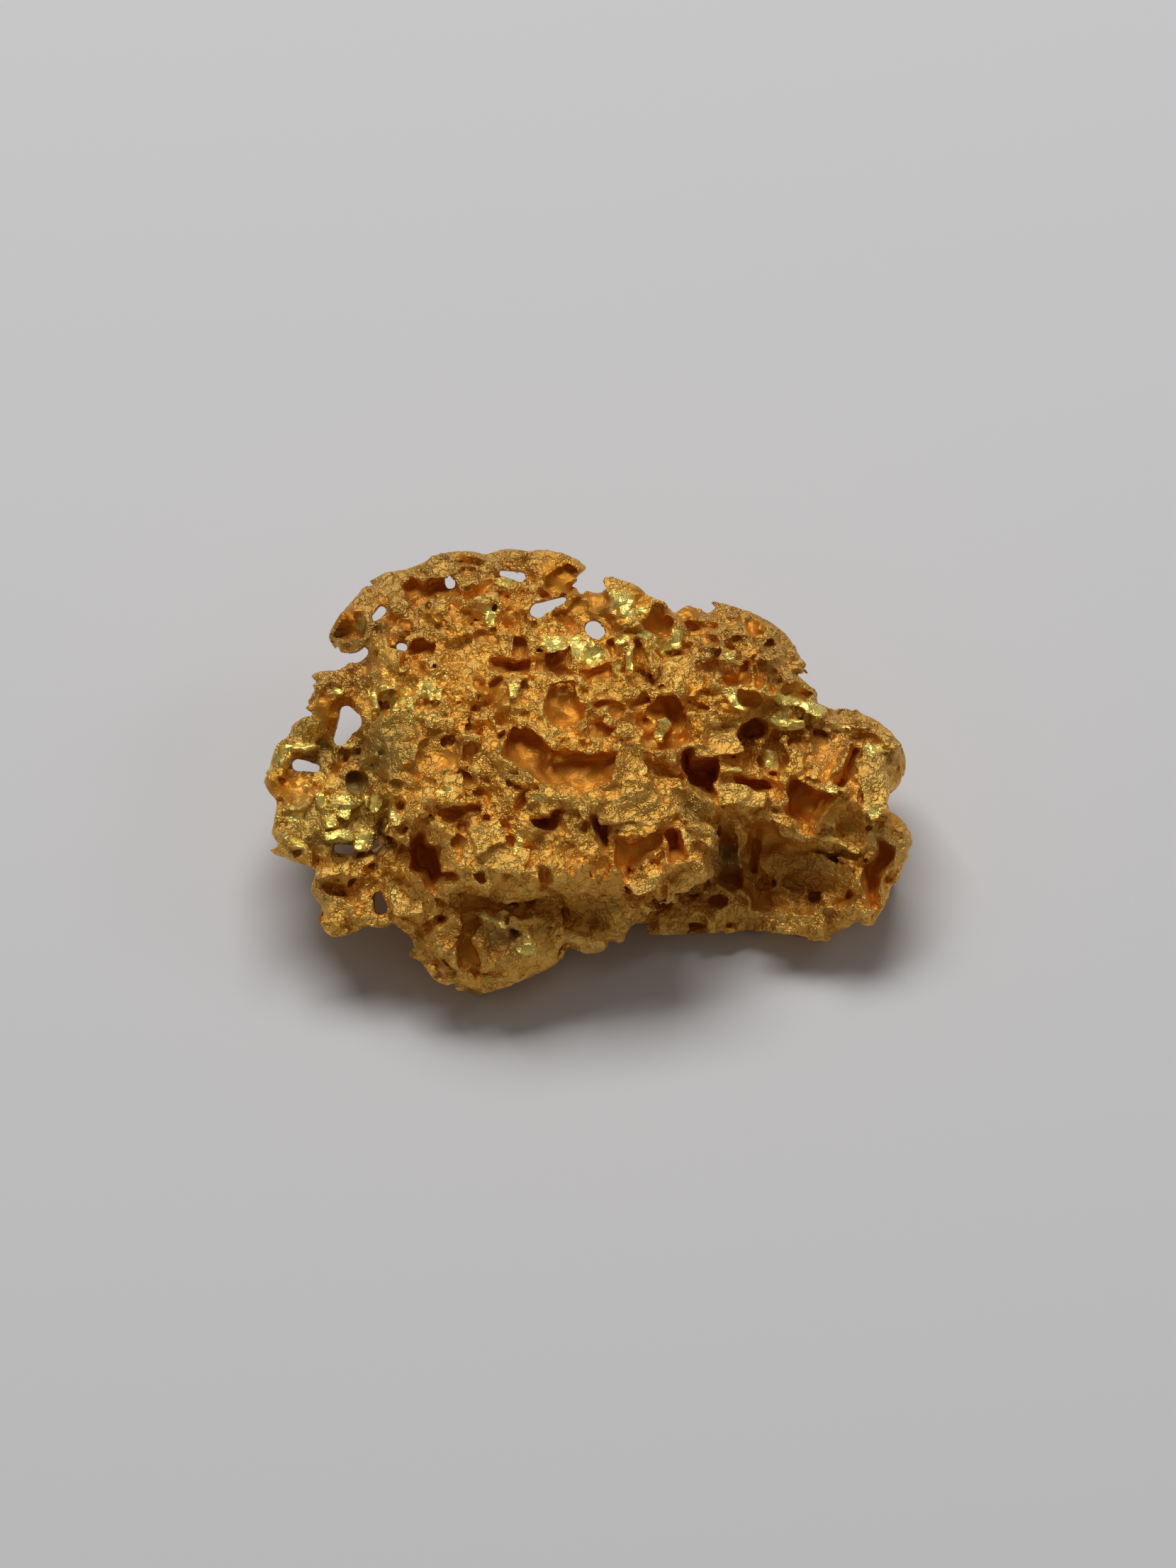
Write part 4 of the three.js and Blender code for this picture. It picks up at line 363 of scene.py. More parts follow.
def sink_pockets(field, keep):
    """Lowers the crust in pockets, but not where keep is 1 in the picture plane."""
    shell = np.nonzero(np.abs(field) < PLATE_REACH)
    u, v, w = (LOW[k] + CELL * shell[k] for k in range(3))
    level = sum(weight * wave(u, v, w, spacing, phase) for weight, spacing, phase in POCKET_WAVES)
    depth = sum(drop / (1 + np.exp((level - at) / side)) for at, drop, side in POCKET_STEPS)
    field[shell] += (1 - keep[shell[0], shell[1]]) * depth


# The hollows are the moulds of quartz crystals: straight-sided, flat or bowl-shaped at the bottom, with
# a crisp rim where the gold crept up the crystal and stands a little proud. Knobs and bars of gold that
# grew between the crystals are left standing in and beside them.

# Hollows on the side that is seen: name, depth below the crust, outline in the picture plane
HOLLOWS = [
    ("front recess", 1.2, [
        (2.7, -5.15), (3.4, -4.7), (4.25, -3.95), (4.75, -3.85), (5.2, -4.3), (5.25, -4.9), (4.6, -5.2),
        (3.4, -5.25),
    ]),
    ("wall line", 1.15, [(9.1, -4.3), (9.7, -4), (9.85, -4.3), (9.3, -4.7)]),
    ("wall slit", 1.3, [(6.75, -3.7), (7, -3.65), (7.1, -4.1), (6.85, -4.2)]),
    ("long hollow", 0.92, [
        (-2.83, 1.67), (-1.83, 1.63), (-1.45, 1.2), (-1.1, 0.72), (0, 0.72), (0.85, 0.63), (1.4, 0.66),
        (1.15, 0.1), (0.95, -0.45), (0.5, -0.75), (-0.2, -0.83), (-0.75, -0.67), (-1.5, -0.46),
        (-2.1, -0.1), (-2.7, 0.35), (-2.85, 0.9),
    ]),
    ("middle hollow", 0.76, [
        (-1.33, 3.05), (-0.75, 3.3), (-0.29, 3.2), (-0.1, 2.6), (0.1, 1.85), (-0.08, 1.5), (-0.7, 1.4),
        (-1.17, 1.67), (-1.33, 2.25),
    ]),
    ("corner pocket", 0.96, [
        (-3.33, 4.08), (-2.75, 4.17), (-2.0, 4.17), (-1.75, 3.75), (-1.92, 3.42), (-2.4, 3.38),
        (-3.0, 3.6), (-3.3, 3.75),
    ]),
    ("corner pocket, upper", 0.48, [(-2.65, 5.0), (-2.2, 5.1), (-2.0, 4.4), (-2.2, 4.1), (-2.6, 4.2)]),
    ("curved slot", 0.88, [
        (-3.45, 2.35), (-3.2, 2.67), (-2.83, 2.82), (-2.68, 2.7), (-3.0, 2.42), (-3.3, 2.1),
    ]),
    ("curved slot's shoulder", 0.28, [
        (-3.65, 2.5), (-3.3, 3.2), (-2.8, 3.35), (-2.5, 2.9), (-2.9, 2.5), (-3.3, 2.0),
    ]),
    ("side nick", 0.44, [(-4.05, 3.25), (-3.5, 3.32), (-3.55, 3.05), (-3.9, 2.98)]),
    ("knob hollow", 0.88, [
        (2.15, 2.55), (2.67, 2.75), (3.42, 2.72), (3.8, 2.25), (3.92, 1.6), (3.85, 1), (3.4, 0.78),
        (2.4, 0.8), (2, 1.15), (1.7, 1.55), (1.9, 2.25),
    ]),
    ("knob hollow's sump", 1.36, [(1.9, 2.05), (2.3, 2.2), (2.5, 1.9), (2.4, 1.5), (1.95, 1.45)]),
    ("dark hollow", 2.1, [
        (3.46, 0.67), (3.9, 0.83), (4.1, 0.52), (4.67, 0.54), (5.1, 0.5), (5.17, 0.0), (5.04, -0.5),
        (4.92, -1.0), (4.58, -1.2), (4.2, -0.8), (3.7, -0.67), (3.42, 0.0),
    ]),
    ("square pocket", 1.5, [
        (5.72, 1.68), (6.08, 1.95), (6.44, 2.04), (6.77, 1.62), (6.83, 1.17), (6.32, 1.02), (5.75, 1.08),
    ]),
    ("square pocket, lower", 0.68, [
        (5.54, 0.9), (5.84, 1.02), (6.38, 0.9), (6.44, 0.54), (6.2, 0.18), (5.72, -0.02), (5.42, 0.18),
    ]),
    ("moat", 0.64, [
        (6.86, 1.02), (7.4, 0.96), (7.64, 0.66), (7.58, 0.3), (7.34, 0.0), (7.1, -0.24), (6.68, -0.1),
        (6.3, 0.2), (6.4, 0.66),
    ]),
    ("low slot", 0.96, [
        (5.48, -0.24), (5.78, -0.1), (6.26, -0.15), (6.68, -0.3), (6.95, -0.66), (6.38, -0.8),
        (5.78, -0.72), (5.5, -0.48),
    ]),
    ("right basin", 1.2, [
        (7.46, -0.42), (7.75, -0.15), (8.1, -0.35), (8.6, -0.72), (9.1, -1.05), (8.78, -1.56),
        (8.36, -2.16), (7.82, -1.92), (7.46, -1.62), (7.4, -1.08),
    ]),
    ("right scoop", 0.32, [
        (8.48, 1.5), (9.26, 1.38), (9.9, 1.0), (9.6, 0.6), (9.1, -0.1), (8.9, -0.66), (8.42, -0.06),
        (8.36, 0.66),
    ]),
    ("right slit", 0.88, [
        (10.16, 0.9), (10.3, 0.66), (9.98, 0.18), (9.68, -0.3), (9.38, -0.66), (9.02, -0.54),
        (9.05, -0.2), (9.4, -0.02), (9.62, 0.42), (9.86, 0.78),
    ]),
    ("side slit", 0.88, [
        (10.7, -2.34), (10.94, -2.4), (11.24, -2.76), (11.4, -3.06), (11.24, -3.54), (11.0, -3.9),
        (10.88, -4.38), (10.58, -5.04), (10.28, -4.92), (10.22, -4.26), (10.1, -3.78), (10.25, -3.45),
        (10.58, -3.1),
    ]),
    ("left pit", 1.9, [
        (-6.04, -2.13), (-5.75, -2.17), (-5.55, -2.5), (-5.0, -2.67), (-5.13, -3.08), (-4.92, -3.5),
        (-4.35, -3.75), (-4.63, -4.04), (-5.1, -4.17), (-5.42, -4.42), (-5.75, -4.2), (-6.0, -3.75),
        (-6.38, -3.42), (-6.4, -2.75),
    ]),
    ("left slot", 0.8, [
        (-5.25, -1.45), (-4.9, -1.17), (-4.33, -1.2), (-3.67, -1.2), (-3.0, -1.25), (-3.4, -1.48),
        (-4.0, -1.67), (-4.83, -1.82),
    ]),
    ("boat moat", 0.6, [
        (-2.5, -1.17), (-2.08, -0.75), (-1.58, -0.6), (-1.8, -1.0), (-2.15, -1.42), (-2.42, -1.55),
    ]),
    ("dark nook", 1.3, [
        (-1.83, -1.58), (-1.17, -1.55), (-0.5, -1.25), (-0.67, -1.58), (-0.92, -2.0), (-1.17, -2.33),
        (-1.5, -2.2), (-1.75, -1.92),
    ]),
    ("upright slot", 1.3, [
        (0.36, -1.5), (0.67, -1.5), (1.0, -1.92), (1.04, -2.33), (0.92, -2.75), (0.71, -3.25),
        (0.58, -2.83), (0.42, -2.17),
    ]),
    ("shaded scoop", 0.68, [
        (1.04, -2.5), (1.5, -2.52), (2.17, -2.42), (2.75, -2.25), (3.2, -2.1), (3.05, -2.67),
        (2.5, -3.0), (2.08, -3.5), (1.7, -4.0), (1.35, -3.65), (1.05, -3.1),
    ]),
    ("amber pocket", 1, [(1.25, -3.3), (2.0, -3.25), (1.7, -3.95), (1.4, -3.7)]),
    ("beak slot", 1.4, [
        (3.04, -2.33), (3.38, -2.08), (3.63, -2.25), (3.67, -2.75), (3.83, -3.25), (3.33, -3.33),
        (3.17, -3.58), (2.92, -3.08),
    ]),
    ("cavern", 1.2, [
        (4.95, -2.05), (5.5, -1.95), (5.75, -2.4), (5.7, -3.1), (5.9, -3.6), (6, -4.2), (5.5, -4.5),
        (4.8, -4.2), (4.5, -3.8), (4.85, -3.2), (4.95, -2.6),
    ]),
    ("cavern window", 2.0, [
        (5.8, -2), (6.15, -2.2), (6.1, -2.6), (5.97, -3.3), (5.7, -3.2), (5.75, -2.6),
    ]),
    ("wall hollow, left", 1.5, [(6.1, -2.2), (6.5, -2.3), (6.7, -3), (6.6, -3.8), (6.15, -3.9), (6, -3)]),
    ("wall hollow, wide", 0.85, [
        (5.95, -2.2), (6.4, -1.75), (7.3, -2.25), (8, -2.5), (8.3, -2.75), (9.2, -3.05), (9.95, -3.5),
        (9.7, -4), (9.95, -4.5), (9.5, -5), (8.9, -4.9), (8.3, -5.3), (7.4, -5.15), (6.9, -5.45),
        (6.3, -5.2), (6.1, -4.7), (5.7, -4.3), (5.9, -3.3),
    ]),
    ("wall hollow, right", 1.1, [(8.1, -4.35), (8.8, -4.4), (9, -4.85), (8.4, -5), (8.05, -4.8)]),
    ("wall hollow, low", 1.12, [(6.7, -4.6), (7.4, -4.5), (7.6, -5.05), (7.1, -5.2), (6.65, -5)]),
    ("arc pocket", 0.68, [
        (5.0, 3.24), (5.48, 3.42), (5.84, 3.96), (6.14, 4.02), (6.14, 3.3), (5.78, 2.94), (5.3, 3.0),
    ]),
    ("arc pocket, right", 0.6, [
        (6.26, 4.02), (6.86, 4.0), (6.86, 3.72), (6.62, 3.18), (6.32, 3.06), (6.2, 3.42),
    ]),
    ("arc pocket, bright", 0.52, [
        (5.7, 2.85), (6.2, 2.95), (6.55, 2.6), (6.5, 2.3), (6.0, 2.25), (5.6, 2.4),
    ]),
    ("arc slot", 0.72, [(6.74, 3.4), (6.98, 3.3), (7.1, 2.94), (6.98, 2.86), (6.68, 3.2)]),
    ("arc nick", 0.44, [(6.9, 3.75), (7.3, 3.7), (7.15, 3.4), (6.9, 3.5)]),
    ("step nick", 0.48, [(4.1, 2.45), (4.7, 2.42), (4.7, 2.2), (4.2, 2.18)]),
    ("step line", 0.28, [(4.85, 2.42), (5.4, 2.32), (5.8, 2.15), (5.2, 2.12)]),
    ("crest hollow", 0.4, [(7.3, 3.1), (8.0, 3.15), (8.45, 2.75), (8.0, 2.65), (7.4, 2.7)]),
    ("wing hollow", 0.72, [
        (-6.58, 6.8), (-6.2, 7.12), (-5.69, 6.85), (-5.1, 7.1), (-4.6, 6.8), (-4.55, 6.36),
        (-5.56, 6.36), (-6.5, 6.3),
    ]),
    ("wing tip scoop", 0.4, [
        (-8.86, 5.3), (-8.1, 5.9), (-7.97, 5.5), (-8.04, 4.8), (-8.73, 4.72), (-9.0, 4.85),
    ]),
    ("shoulder hollow", 0.88, [
        (-6.6, 4.3), (-6.3, 4.9), (-5.7, 4.77), (-5.37, 4.39), (-5.8, 4.07), (-6.4, 4.0), (-6.6, 3.6),
        (-6.8, 3.9),
    ]),
    ("wing end scoop", 0.36, [
        (-1.9, 6.35), (-1.4, 6.93), (-0.87, 7.5), (0.0, 7.45), (-0.3, 6.95), (-0.35, 6.6), (-0.9, 6.5),
        (-1.63, 6.25),
    ]),
    ("fin scoop", 0.36, [
        (-0.2, 6.35), (0.77, 6.6), (0.9, 5.9), (1.28, 5.4), (0.14, 5.53), (-0.62, 5.66), (-1.2, 5.55),
        (-0.8, 5.95),
    ]),
    ("ball socket", 0.52, [
        (2.42, 5.66), (2.8, 6.0), (3.25, 5.66), (3.4, 5.28), (3.05, 4.9), (2.42, 5.02), (2.17, 5.4),
    ]),
    ("fin pit", 0.36, [(-1.0, 5.5), (-0.75, 5.62), (-0.5, 5.5), (-0.75, 5.3)]),
    ("wing pit", 1.2, [(-3.52, 6.2), (-3.28, 6.2), (-3.26, 5.85), (-3.5, 5.82)]),
    ("bright pocket", 0.6, [
        (-0.1, 3.72), (0.3, 3.6), (0.85, 3.85), (1.15, 3.6), (1.0, 3.2), (0.6, 3.0), (0.05, 3.1),
    ]),
    ("strip, right", 0.44, [(1.85, 4.9), (2.2, 4.8), (2.3, 3.7), (1.95, 3.4), (1.8, 4.0)]),
    ("strip, left", 0.36, [(0.78, 4.85), (1.05, 5.0), (1.12, 4.4), (0.98, 3.9), (0.85, 4.3)]),
    ("facet's shade", 0.36, [(-1.3, 4.5), (-0.6, 4.6), (-0.42, 4.2), (-0.5, 3.9), (-1.3, 4.0)]),
    ("arc pit", 0.48, [(6.5, 4.7), (6.9, 4.75), (7.0, 4.3), (6.6, 4.2)]),
    ("arc pit, upper", 0.4, [(6.0, 5.3), (6.2, 5.6), (6.5, 5.5), (6.5, 5.0), (6.2, 5.0)]),
    ("wing dip", 0.32, [(-4.0, 5.0), (-3.4, 5.1), (-3.2, 4.6), (-3.8, 4.5)]),
    ("wing nick", 0.32, [(-5.5, 5.35), (-5.0, 5.4), (-4.8, 5.1), (-5.3, 5.05)]),
    ("smooth basin", 0.22, [
        (-5.93, 1.2), (-5.2, 1.36), (-4.4, 1.12), (-4.43, 0.65), (-4.35, 0.0), (-5.2, -0.2),
        (-6.0, 0.05),
    ]),
    ("amber nook", 0.4, [(-4.35, 0.89), (-3.96, 1.05), (-3.72, 0.65), (-4.04, 0.26), (-4.35, 0.18)]),
    ("lace well", 0.56, [(-8.7, -0.05), (-8.2, 0.0), (-7.8, -0.4), (-8.1, -0.9), (-8.6, -0.8)]),
    ("lace dip", 0.24, [(-11.1, -0.25), (-10.3, -0.4), (-9.9, -0.9), (-10.3, -1.4), (-10.9, -1.0)]),
    ("tab hollow", 0.4, [
        (-9.4, -4.2), (-8.76, -4.07), (-8.05, -3.95), (-8.05, -4.4), (-8.37, -5.0), (-8.9, -4.7),
        (-9.25, -4.54),
    ]),
    ("tab hollow, right", 0.48, [
        (-7.8, -4.0), (-7.1, -3.5), (-7.03, -4.07), (-7.26, -4.46), (-7.66, -4.7),
    ]),
    ("lump channel", 0.48, [
        (-4.4, -5.1), (-3.85, -5.05), (-3.72, -5.48), (-3.96, -6.1), (-3.65, -6.98), (-3.72, -7.4),
        (-4.4, -7.3), (-4.6, -6.6), (-4.4, -5.88),
    ]),
    ("lump's shade line", 0.52, [
        (-4.4, -4.85), (-3.2, -4.8), (-2.1, -4.8), (-1.7, -5.1), (-2.2, -5.3), (-3.0, -5.1),
        (-4.3, -5.15),
    ]),
    ("lump hole", 0.9, [(-5.33, -5.3), (-4.9, -5.3), (-4.95, -5.58), (-5.33, -5.55)]),
    ("crust pit, a", 0.52, [(-1.6, -3.5), (-1.2, -3.55), (-1.3, -4.1), (-1.6, -4.2)]),
    ("crust pit, b", 0.44, [(-4.05, -3.65), (-3.7, -3.6), (-3.5, -3.9), (-3.9, -4.0)]),
    ("crust pit, c", 0.4, [(-3.4, -4.1), (-2.9, -4.2), (-2.8, -4.6), (-3.3, -4.4)]),
    ("crust pit, d", 0.36, [(-2.8, -2.5), (-2.3, -2.55), (-2.4, -2.9), (-2.8, -2.75)]),
]
HOLLOW_TAPER = 0.22  # how far a hollow's sides lean in, for each millimetre of depth
HOLLOW_ROUND = 0.25  # between its sides and its floor
HOLLOW_MOUTH = 1.2  # how far its mouth reaches out of the crust
HOLLOW_BOWL = 0.25  # share of its depth that its floor lacks at the sides
BOWL_WIDTH = 0.5  # how far in from its sides the floor goes on falling
HOLLOW_TILT = 1.2  # steepest slope of the crust that a floor follows
FLOOR_LEFT = 0.5  # gold that is left over the table
LOOP_STEPS = 2  # straight steps from each point of its outline to the next
LIP = (0.08, 0.06, 0.13)  # height of the raised lip, how far out it stands, its width
LIP_REACH = 0.4  # how far above and below the crust the lip goes
SPARE = 0.3  # grid left free around a part that is cut or laid

# Knobs and bars: name, middle, half sizes, turn, height over the crust
KNOBS = [
    ("knob", (6.9, 0.36), (0.42, 0.34), -8, 0.0),
    ("knob in hollow", (2.85, 1.52), (0.22, 0.42), -35, -0.2),
    ("boat", (-1.15, -0.98), (0.8, 0.33), -6, 0.2),
    ("bead", (-1.08, 0.42), (0.14, 0.14), 0, -0.35),
    ("facet", (0.2, 4.45), (0.62, 0.34), -48, 0.1),
    ("pillar", (1.45, 4.3), (0.28, 0.8), -6, 0.12),
    ("socket lip", (3.25, 4.75), (0.5, 0.2), 40, 0.2),
    ("fin crag", (1.5, 6.05), (0.35, 0.5), 25, 0.12),
    ("bright bead", (5.35, -0.05), (0.28, 0.12), 22, 0.1),
    ("beak brow", (4.3, -2.25), (0.55, 0.28), -25, 0.25),
    ("slope crag", (5.6, -1.1), (0.5, 0.3), -30, 0.15),
    ("grey lump", (4.15, -1.3), (0.6, 0.5), 0, 0.1),
    ("tongue", (0.05, -6.15), (0.8, 0.25), -22, 0.3),
    ("lump fork", (-3.1, -5.55), (0.6, 0.16), -35, 0.2),
    ("lump bulge", (-2.9, -6.3), (0.7, 0.7), 0, 0.12),
    ("lump triangle", (-1.85, -6.4), (0.3, 0.3), 0, 0.2),
    ("wall bump, a", (7.3, -4.85), (0.5, 0.4), 10, -0.45),
    ("wall bump, b", (9.2, -4.65), (0.5, 0.42), 0, -0.4),
    ("wall bump, c", (6.35, -4.3), (0.35, 0.6), 10, -0.5),
    ("wall bump, d", (7.3, -3.2), (0.45, 0.5), 20, -0.6),
    ("lace bar, upper", (-10.4, 0.9), (0.75, 0.12), 4, 0.32),
    ("lace ring", (-11.0, 0.6), (0.25, 0.35), 20, 0.32),
    ("lace bar, lower", (-8.8, -2.45), (0.65, 0.16), 2, 0.37),
    ("lace ring, right", (-7.95, -2.5), (0.22, 0.38), -20, 0.37),
    ("lace bar, left", (-10.5, -2.7), (0.65, 0.13), -30, 0.32),
    ("lace plate, a", (-9.45, -1.15), (0.18, 0.22), 0, 0.27),
    ("lace plate, b", (-8.5, -1.25), (0.35, 0.16), 30, 0.32),
    ("lace plate, c", (-7.55, -1.15), (0.2, 0.32), -10, 0.32),
    ("lace plate, d", (-10.35, -1.7), (0.25, 0.12), 0, 0.27),
    ("lace plate, e", (-9.1, -1.85), (0.2, 0.24), -10, 0.27),
    ("lace plate, f", (-6.85, -1.55), (0.16, 0.14), 0, 0.27),
    ("lace plate, g", (-6.6, -1.85), (0.14, 0.18), 30, 0.27),
    ("tab ridge", (-8.9, -3.7), (0.8, 0.16), 2, 0.3),
    ("tab ridge, right", (-7.6, -3.15), (0.9, 0.16), 32, 0.3),
    ("tab bump", (-6.55, -4.6), (0.5, 0.6), 0, 0.15),
    ("tab rim", (-7.6, -5.4), (0.6, 0.14), -8, 0.2),
    ("right lip", (7.3, -1.75), (0.8, 0.15), -22, 0.2),
    ("right lip, end", (9.1, -2.55), (1.2, 0.15), -16, 0.2),
    ("right crest", (8.2, 2.4), (0.8, 0.16), -25, 0.2),
    ("bright patch", (7.5, 1.65), (0.6, 0.3), 0, 0.15),
    ("slit's edge", (10.5, -0.3), (0.5, 1.4), -3, 0.1),
    ("crust brow", (2.0, -2.1), (1.1, 0.25), 4, 0.2),
]

# Holes right through: name, one end, the other end, radius at each
HOLES = [
    ("wing pinhole", (-4.9, 7.02), (-4.88, 6.9), (0.2, 0.2)),
    ("wing tip hole", (-7.62, 5.62), (-7.4, 5.88), (0.16, 0.18)),
    ("wing slot", (-2.95, 7.28), (-2.3, 7.14), (0.13, 0.19)),
    ("tear between wing and fin", (-1.65, 5.88), (-0.72, 6.28), (0.3, 0.13)),
    ("fin hole", (0.4, 5.2), (0.5, 5.12), (0.33, 0.33)),
    ("shoulder pinhole", (-6.72, 4.55), (-6.58, 4.52), (0.15, 0.15)),
    ("window, upper", (-8.68, 2.1), (-8.5, 1.8), (0.28, 0.42)),
    ("window, lower", (-8.6, 1.8), (-8.9, 1.15), (0.42, 0.26)),
    ("lace slot", (-10.45, 0.2), (-9.8, 0.08), (0.24, 0.16)),
    ("lace hole", (-8.95, -2.85), (-8.5, -2.9), (0.16, 0.2)),
    ("tab hole", (-7.45, -4.6), (-7.35, -5.0), (0.18, 0.26)),
]

# Hollows on the back and the underside: smallest and largest half size and depth
BACK_HOLLOWS = 90
BACK_HOLLOW_HALF = (0.45, 1.1)
BACK_HOLLOW_DEPTH = (0.5, 1.2)
BOX_TAPER = 0.3  # share of its width that a hollow has lost at its floor
BOX_ROUND = 0.1  # of its corners
BOX_SPARE = 0.4  # grid left free around it
MIDDLE = np.array([0, -0.4, 4.2])  # of the ball that the hollows start from, and its half sizes
REACH = np.array([13.5, 9.5, 7.0])
BACK_FACING = -0.05  # hollows lie where the ball faces away from the eye at least this much
RIM_CLEAR = 1.3  # none lies this near the outline where the rim is thinner than this half thickness
THIN_RIM = 0.65
WANDER = [(0.16, 0.7), (0.09, 0.28)]  # height and spacing of the hollows' wandering sides
FLOOR_WAVE = (0.16, 0.4)  # unevenness of a hollow's floor: height, spacing


def grid_index(point):
    """The grid point that lies nearest."""
    return tuple(np.clip(np.round((np.array(point) - LOW) / CELL).astype(int), 0, COUNT - 1))


def seen_depth(u, v, field=crust):
    """Depth of the first gold that the eye meets at [u, v]."""
    i, j, _ = grid_index((u, v, 0))
    inside = np.nonzero(field[i, j] < 0)[0]
    return LOW[2] + CELL * inside[-1] if len(inside) else 0.0


def facing_axes(turn):
    """Axes that face the eye, turned in the picture plane."""
    c, s = math.cos(math.radians(turn)), math.sin(math.radians(turn))
    return np.array([[c, s, 0], [-s, c, 0], [0, 0, 1]])


SWAY_PHASES = (1, 2, 3)
sway = [sum(h * wave(U, V, W, spacing, phase) for h, spacing in WANDER) for phase in SWAY_PHASES]


def near(origin, reach):
    """The part of the grid around a place, and the wandering coordinates there, from that place."""
    low = np.clip(np.floor((origin - reach - LOW) / CELL).astype(int), 0, COUNT - 1)
    high = np.clip(np.ceil((origin + reach - LOW) / CELL).astype(int) + 1, 1, COUNT)
    part = tuple(slice(a, b) for a, b in zip(low, high))
    offset = [
        U[part[0]] + sway[0][part] - origin[0],
        V[:, part[1]] + sway[1][part] - origin[1],
        W[:, :, part[2]] + sway[2][part] - origin[2],
    ]
    return part, offset


def turned(offset, axes):
    """The offset measured along each of the axes."""
    return [offset[0] * a[0] + offset[1] * a[1] + offset[2] * a[2] for a in axes]


def cut_away(gold, part, side, hollow, below):
    """Takes a hollow out of the gold and raises a lip around its mouth."""
    lip = LIP[0] * np.exp(-(((side - LIP[1]) / LIP[2]) ** 2)) * (np.abs(below) < LIP_REACH)
    gold[part] = np.maximum(gold[part] - lip, -hollow)


def cut_seen_hollow(gold, depth, loop):
    """Cuts a hollow that faces the eye, given its outline in the picture plane."""
    loop = np.array(loop)
    mu, mv = loop.mean(0)
    rim_depths = np.array([seen_depth(*spot) for spot in loop])
    top = rim_depths.mean()
    lean = np.linalg.lstsq(loop - (mu, mv), rim_depths - top, rcond=None)[0]
    lean_u, lean_v = lean.clip(-HOLLOW_TILT, HOLLOW_TILT)
    half = np.abs(loop - (mu, mv)).max(0) + BOWL_WIDTH
    tall = max(HOLLOW_MOUTH, depth) + abs(lean_u) * half[0] + abs(lean_v) * half[1]
    reach = np.array([*half, tall + SPARE])
    part, (a, b, c) = near(np.array([mu, mv, top]), reach)
    a, b, c = np.broadcast_arrays(a, b, c)
    below = lean_u * a + lean_v * b - c
    across = loop_distance(a + mu, b + mv, smooth_loop(loop, LOOP_STEPS))
    side = across + HOLLOW_TAPER * np.clip(below, 0, depth)
    inward = np.clip(1 + across / BOWL_WIDTH, 0, 1)
    uneven = FLOOR_WAVE[0] * min(1, depth) * wave(a + mu, b + mv, c + top, FLOOR_WAVE[1], 5)
    floor = below + uneven - depth * (1 - HOLLOW_BOWL * inward**2)
    hollow = np.maximum(smooth_max(side, floor, HOLLOW_ROUND), -below - HOLLOW_MOUTH)
    hollow = np.maximum(hollow, FLOOR_LEFT - Z[:, part[1], part[2]])
    cut_away(gold, part, across, hollow, below)


def cut_box(gold, origin, axes, half, depth):
    """Cuts a box-shaped hollow that faces along the last of its axes."""
    origin = np.array(origin, float)
    span = (HOLLOW_MOUTH + depth) / 2
    part, offset = near(origin, math.hypot(*half, span) + BOX_SPARE)
    a, b, c = turned(offset, axes)
    taper = 1 - BOX_TAPER * np.clip(-c / depth, 0, 1)
    qa = np.abs(a) - half[0] * taper + BOX_ROUND
    qb = np.abs(b) - half[1] * taper + BOX_ROUND
    qc = np.abs(c - (HOLLOW_MOUTH - depth) / 2) - span + BOX_ROUND
    outside = np.sqrt(np.maximum(qa, 0) ** 2 + np.maximum(qb, 0) ** 2 + np.maximum(qc, 0) ** 2)
    box = outside + np.minimum(np.maximum(np.maximum(qa, qb), qc), 0) - BOX_ROUND
    cut_away(gold, part, box, box, -c)


CALM_SPARED = 0.8  # share of the pockets' depth that calm crust is spared
WING_SPARED = 0.6  # the most that a thin wing is spared
WING_HALF, WING_FADE = 0.45, 0.2  # half thickness of a wing, and how much thicker a rim is that is none
WING_WIDTH = 0.9  # how far in from the outline a wing goes
gold = crust.copy()
lay_plates(gold, FINE_PLATES)
calm = np.max([stretch_of(kind, plane_u, plane_v) for kind in ("amber", "smooth_and_painted_olive", "calm")], 0)
wing = np.clip(1 - (rim_half - WING_HALF) / WING_FADE, 0, WING_SPARED) * np.exp(-((edge / WING_WIDTH) ** 2))
sink_pockets(gold, np.maximum(calm * CALM_SPARED, wing))
for _, depth, loop in HOLLOWS:
    cut_seen_hollow(gold, depth, loop)

# The back and the underside: spots spread evenly over a ball around the nugget, dropped onto the crust
CHAIN_STEP, CHAIN_LENGTH = 16807, 2147483647
chain = 20011


def draw():
    """The next number of a chain that looks random and is the same every time."""
    global chain
    chain = chain * CHAIN_STEP % CHAIN_LENGTH
    return chain / CHAIN_LENGTH


def between(low, high):
    """The next number of the chain, from low to high."""
    return low + (high - low) * draw()


def axes_towards(direction, spin):
    """Three axes, the last along the direction, turned about it by spin."""
    c = direction / np.linalg.norm(direction)
    a = np.cross((0.0, 1.0, 0.0), c)
    a /= np.linalg.norm(a)
    b = np.cross(c, a)
    along, across = math.cos(spin), math.sin(spin)
    return np.array([along * a + across * b, along * b - across * a, c])


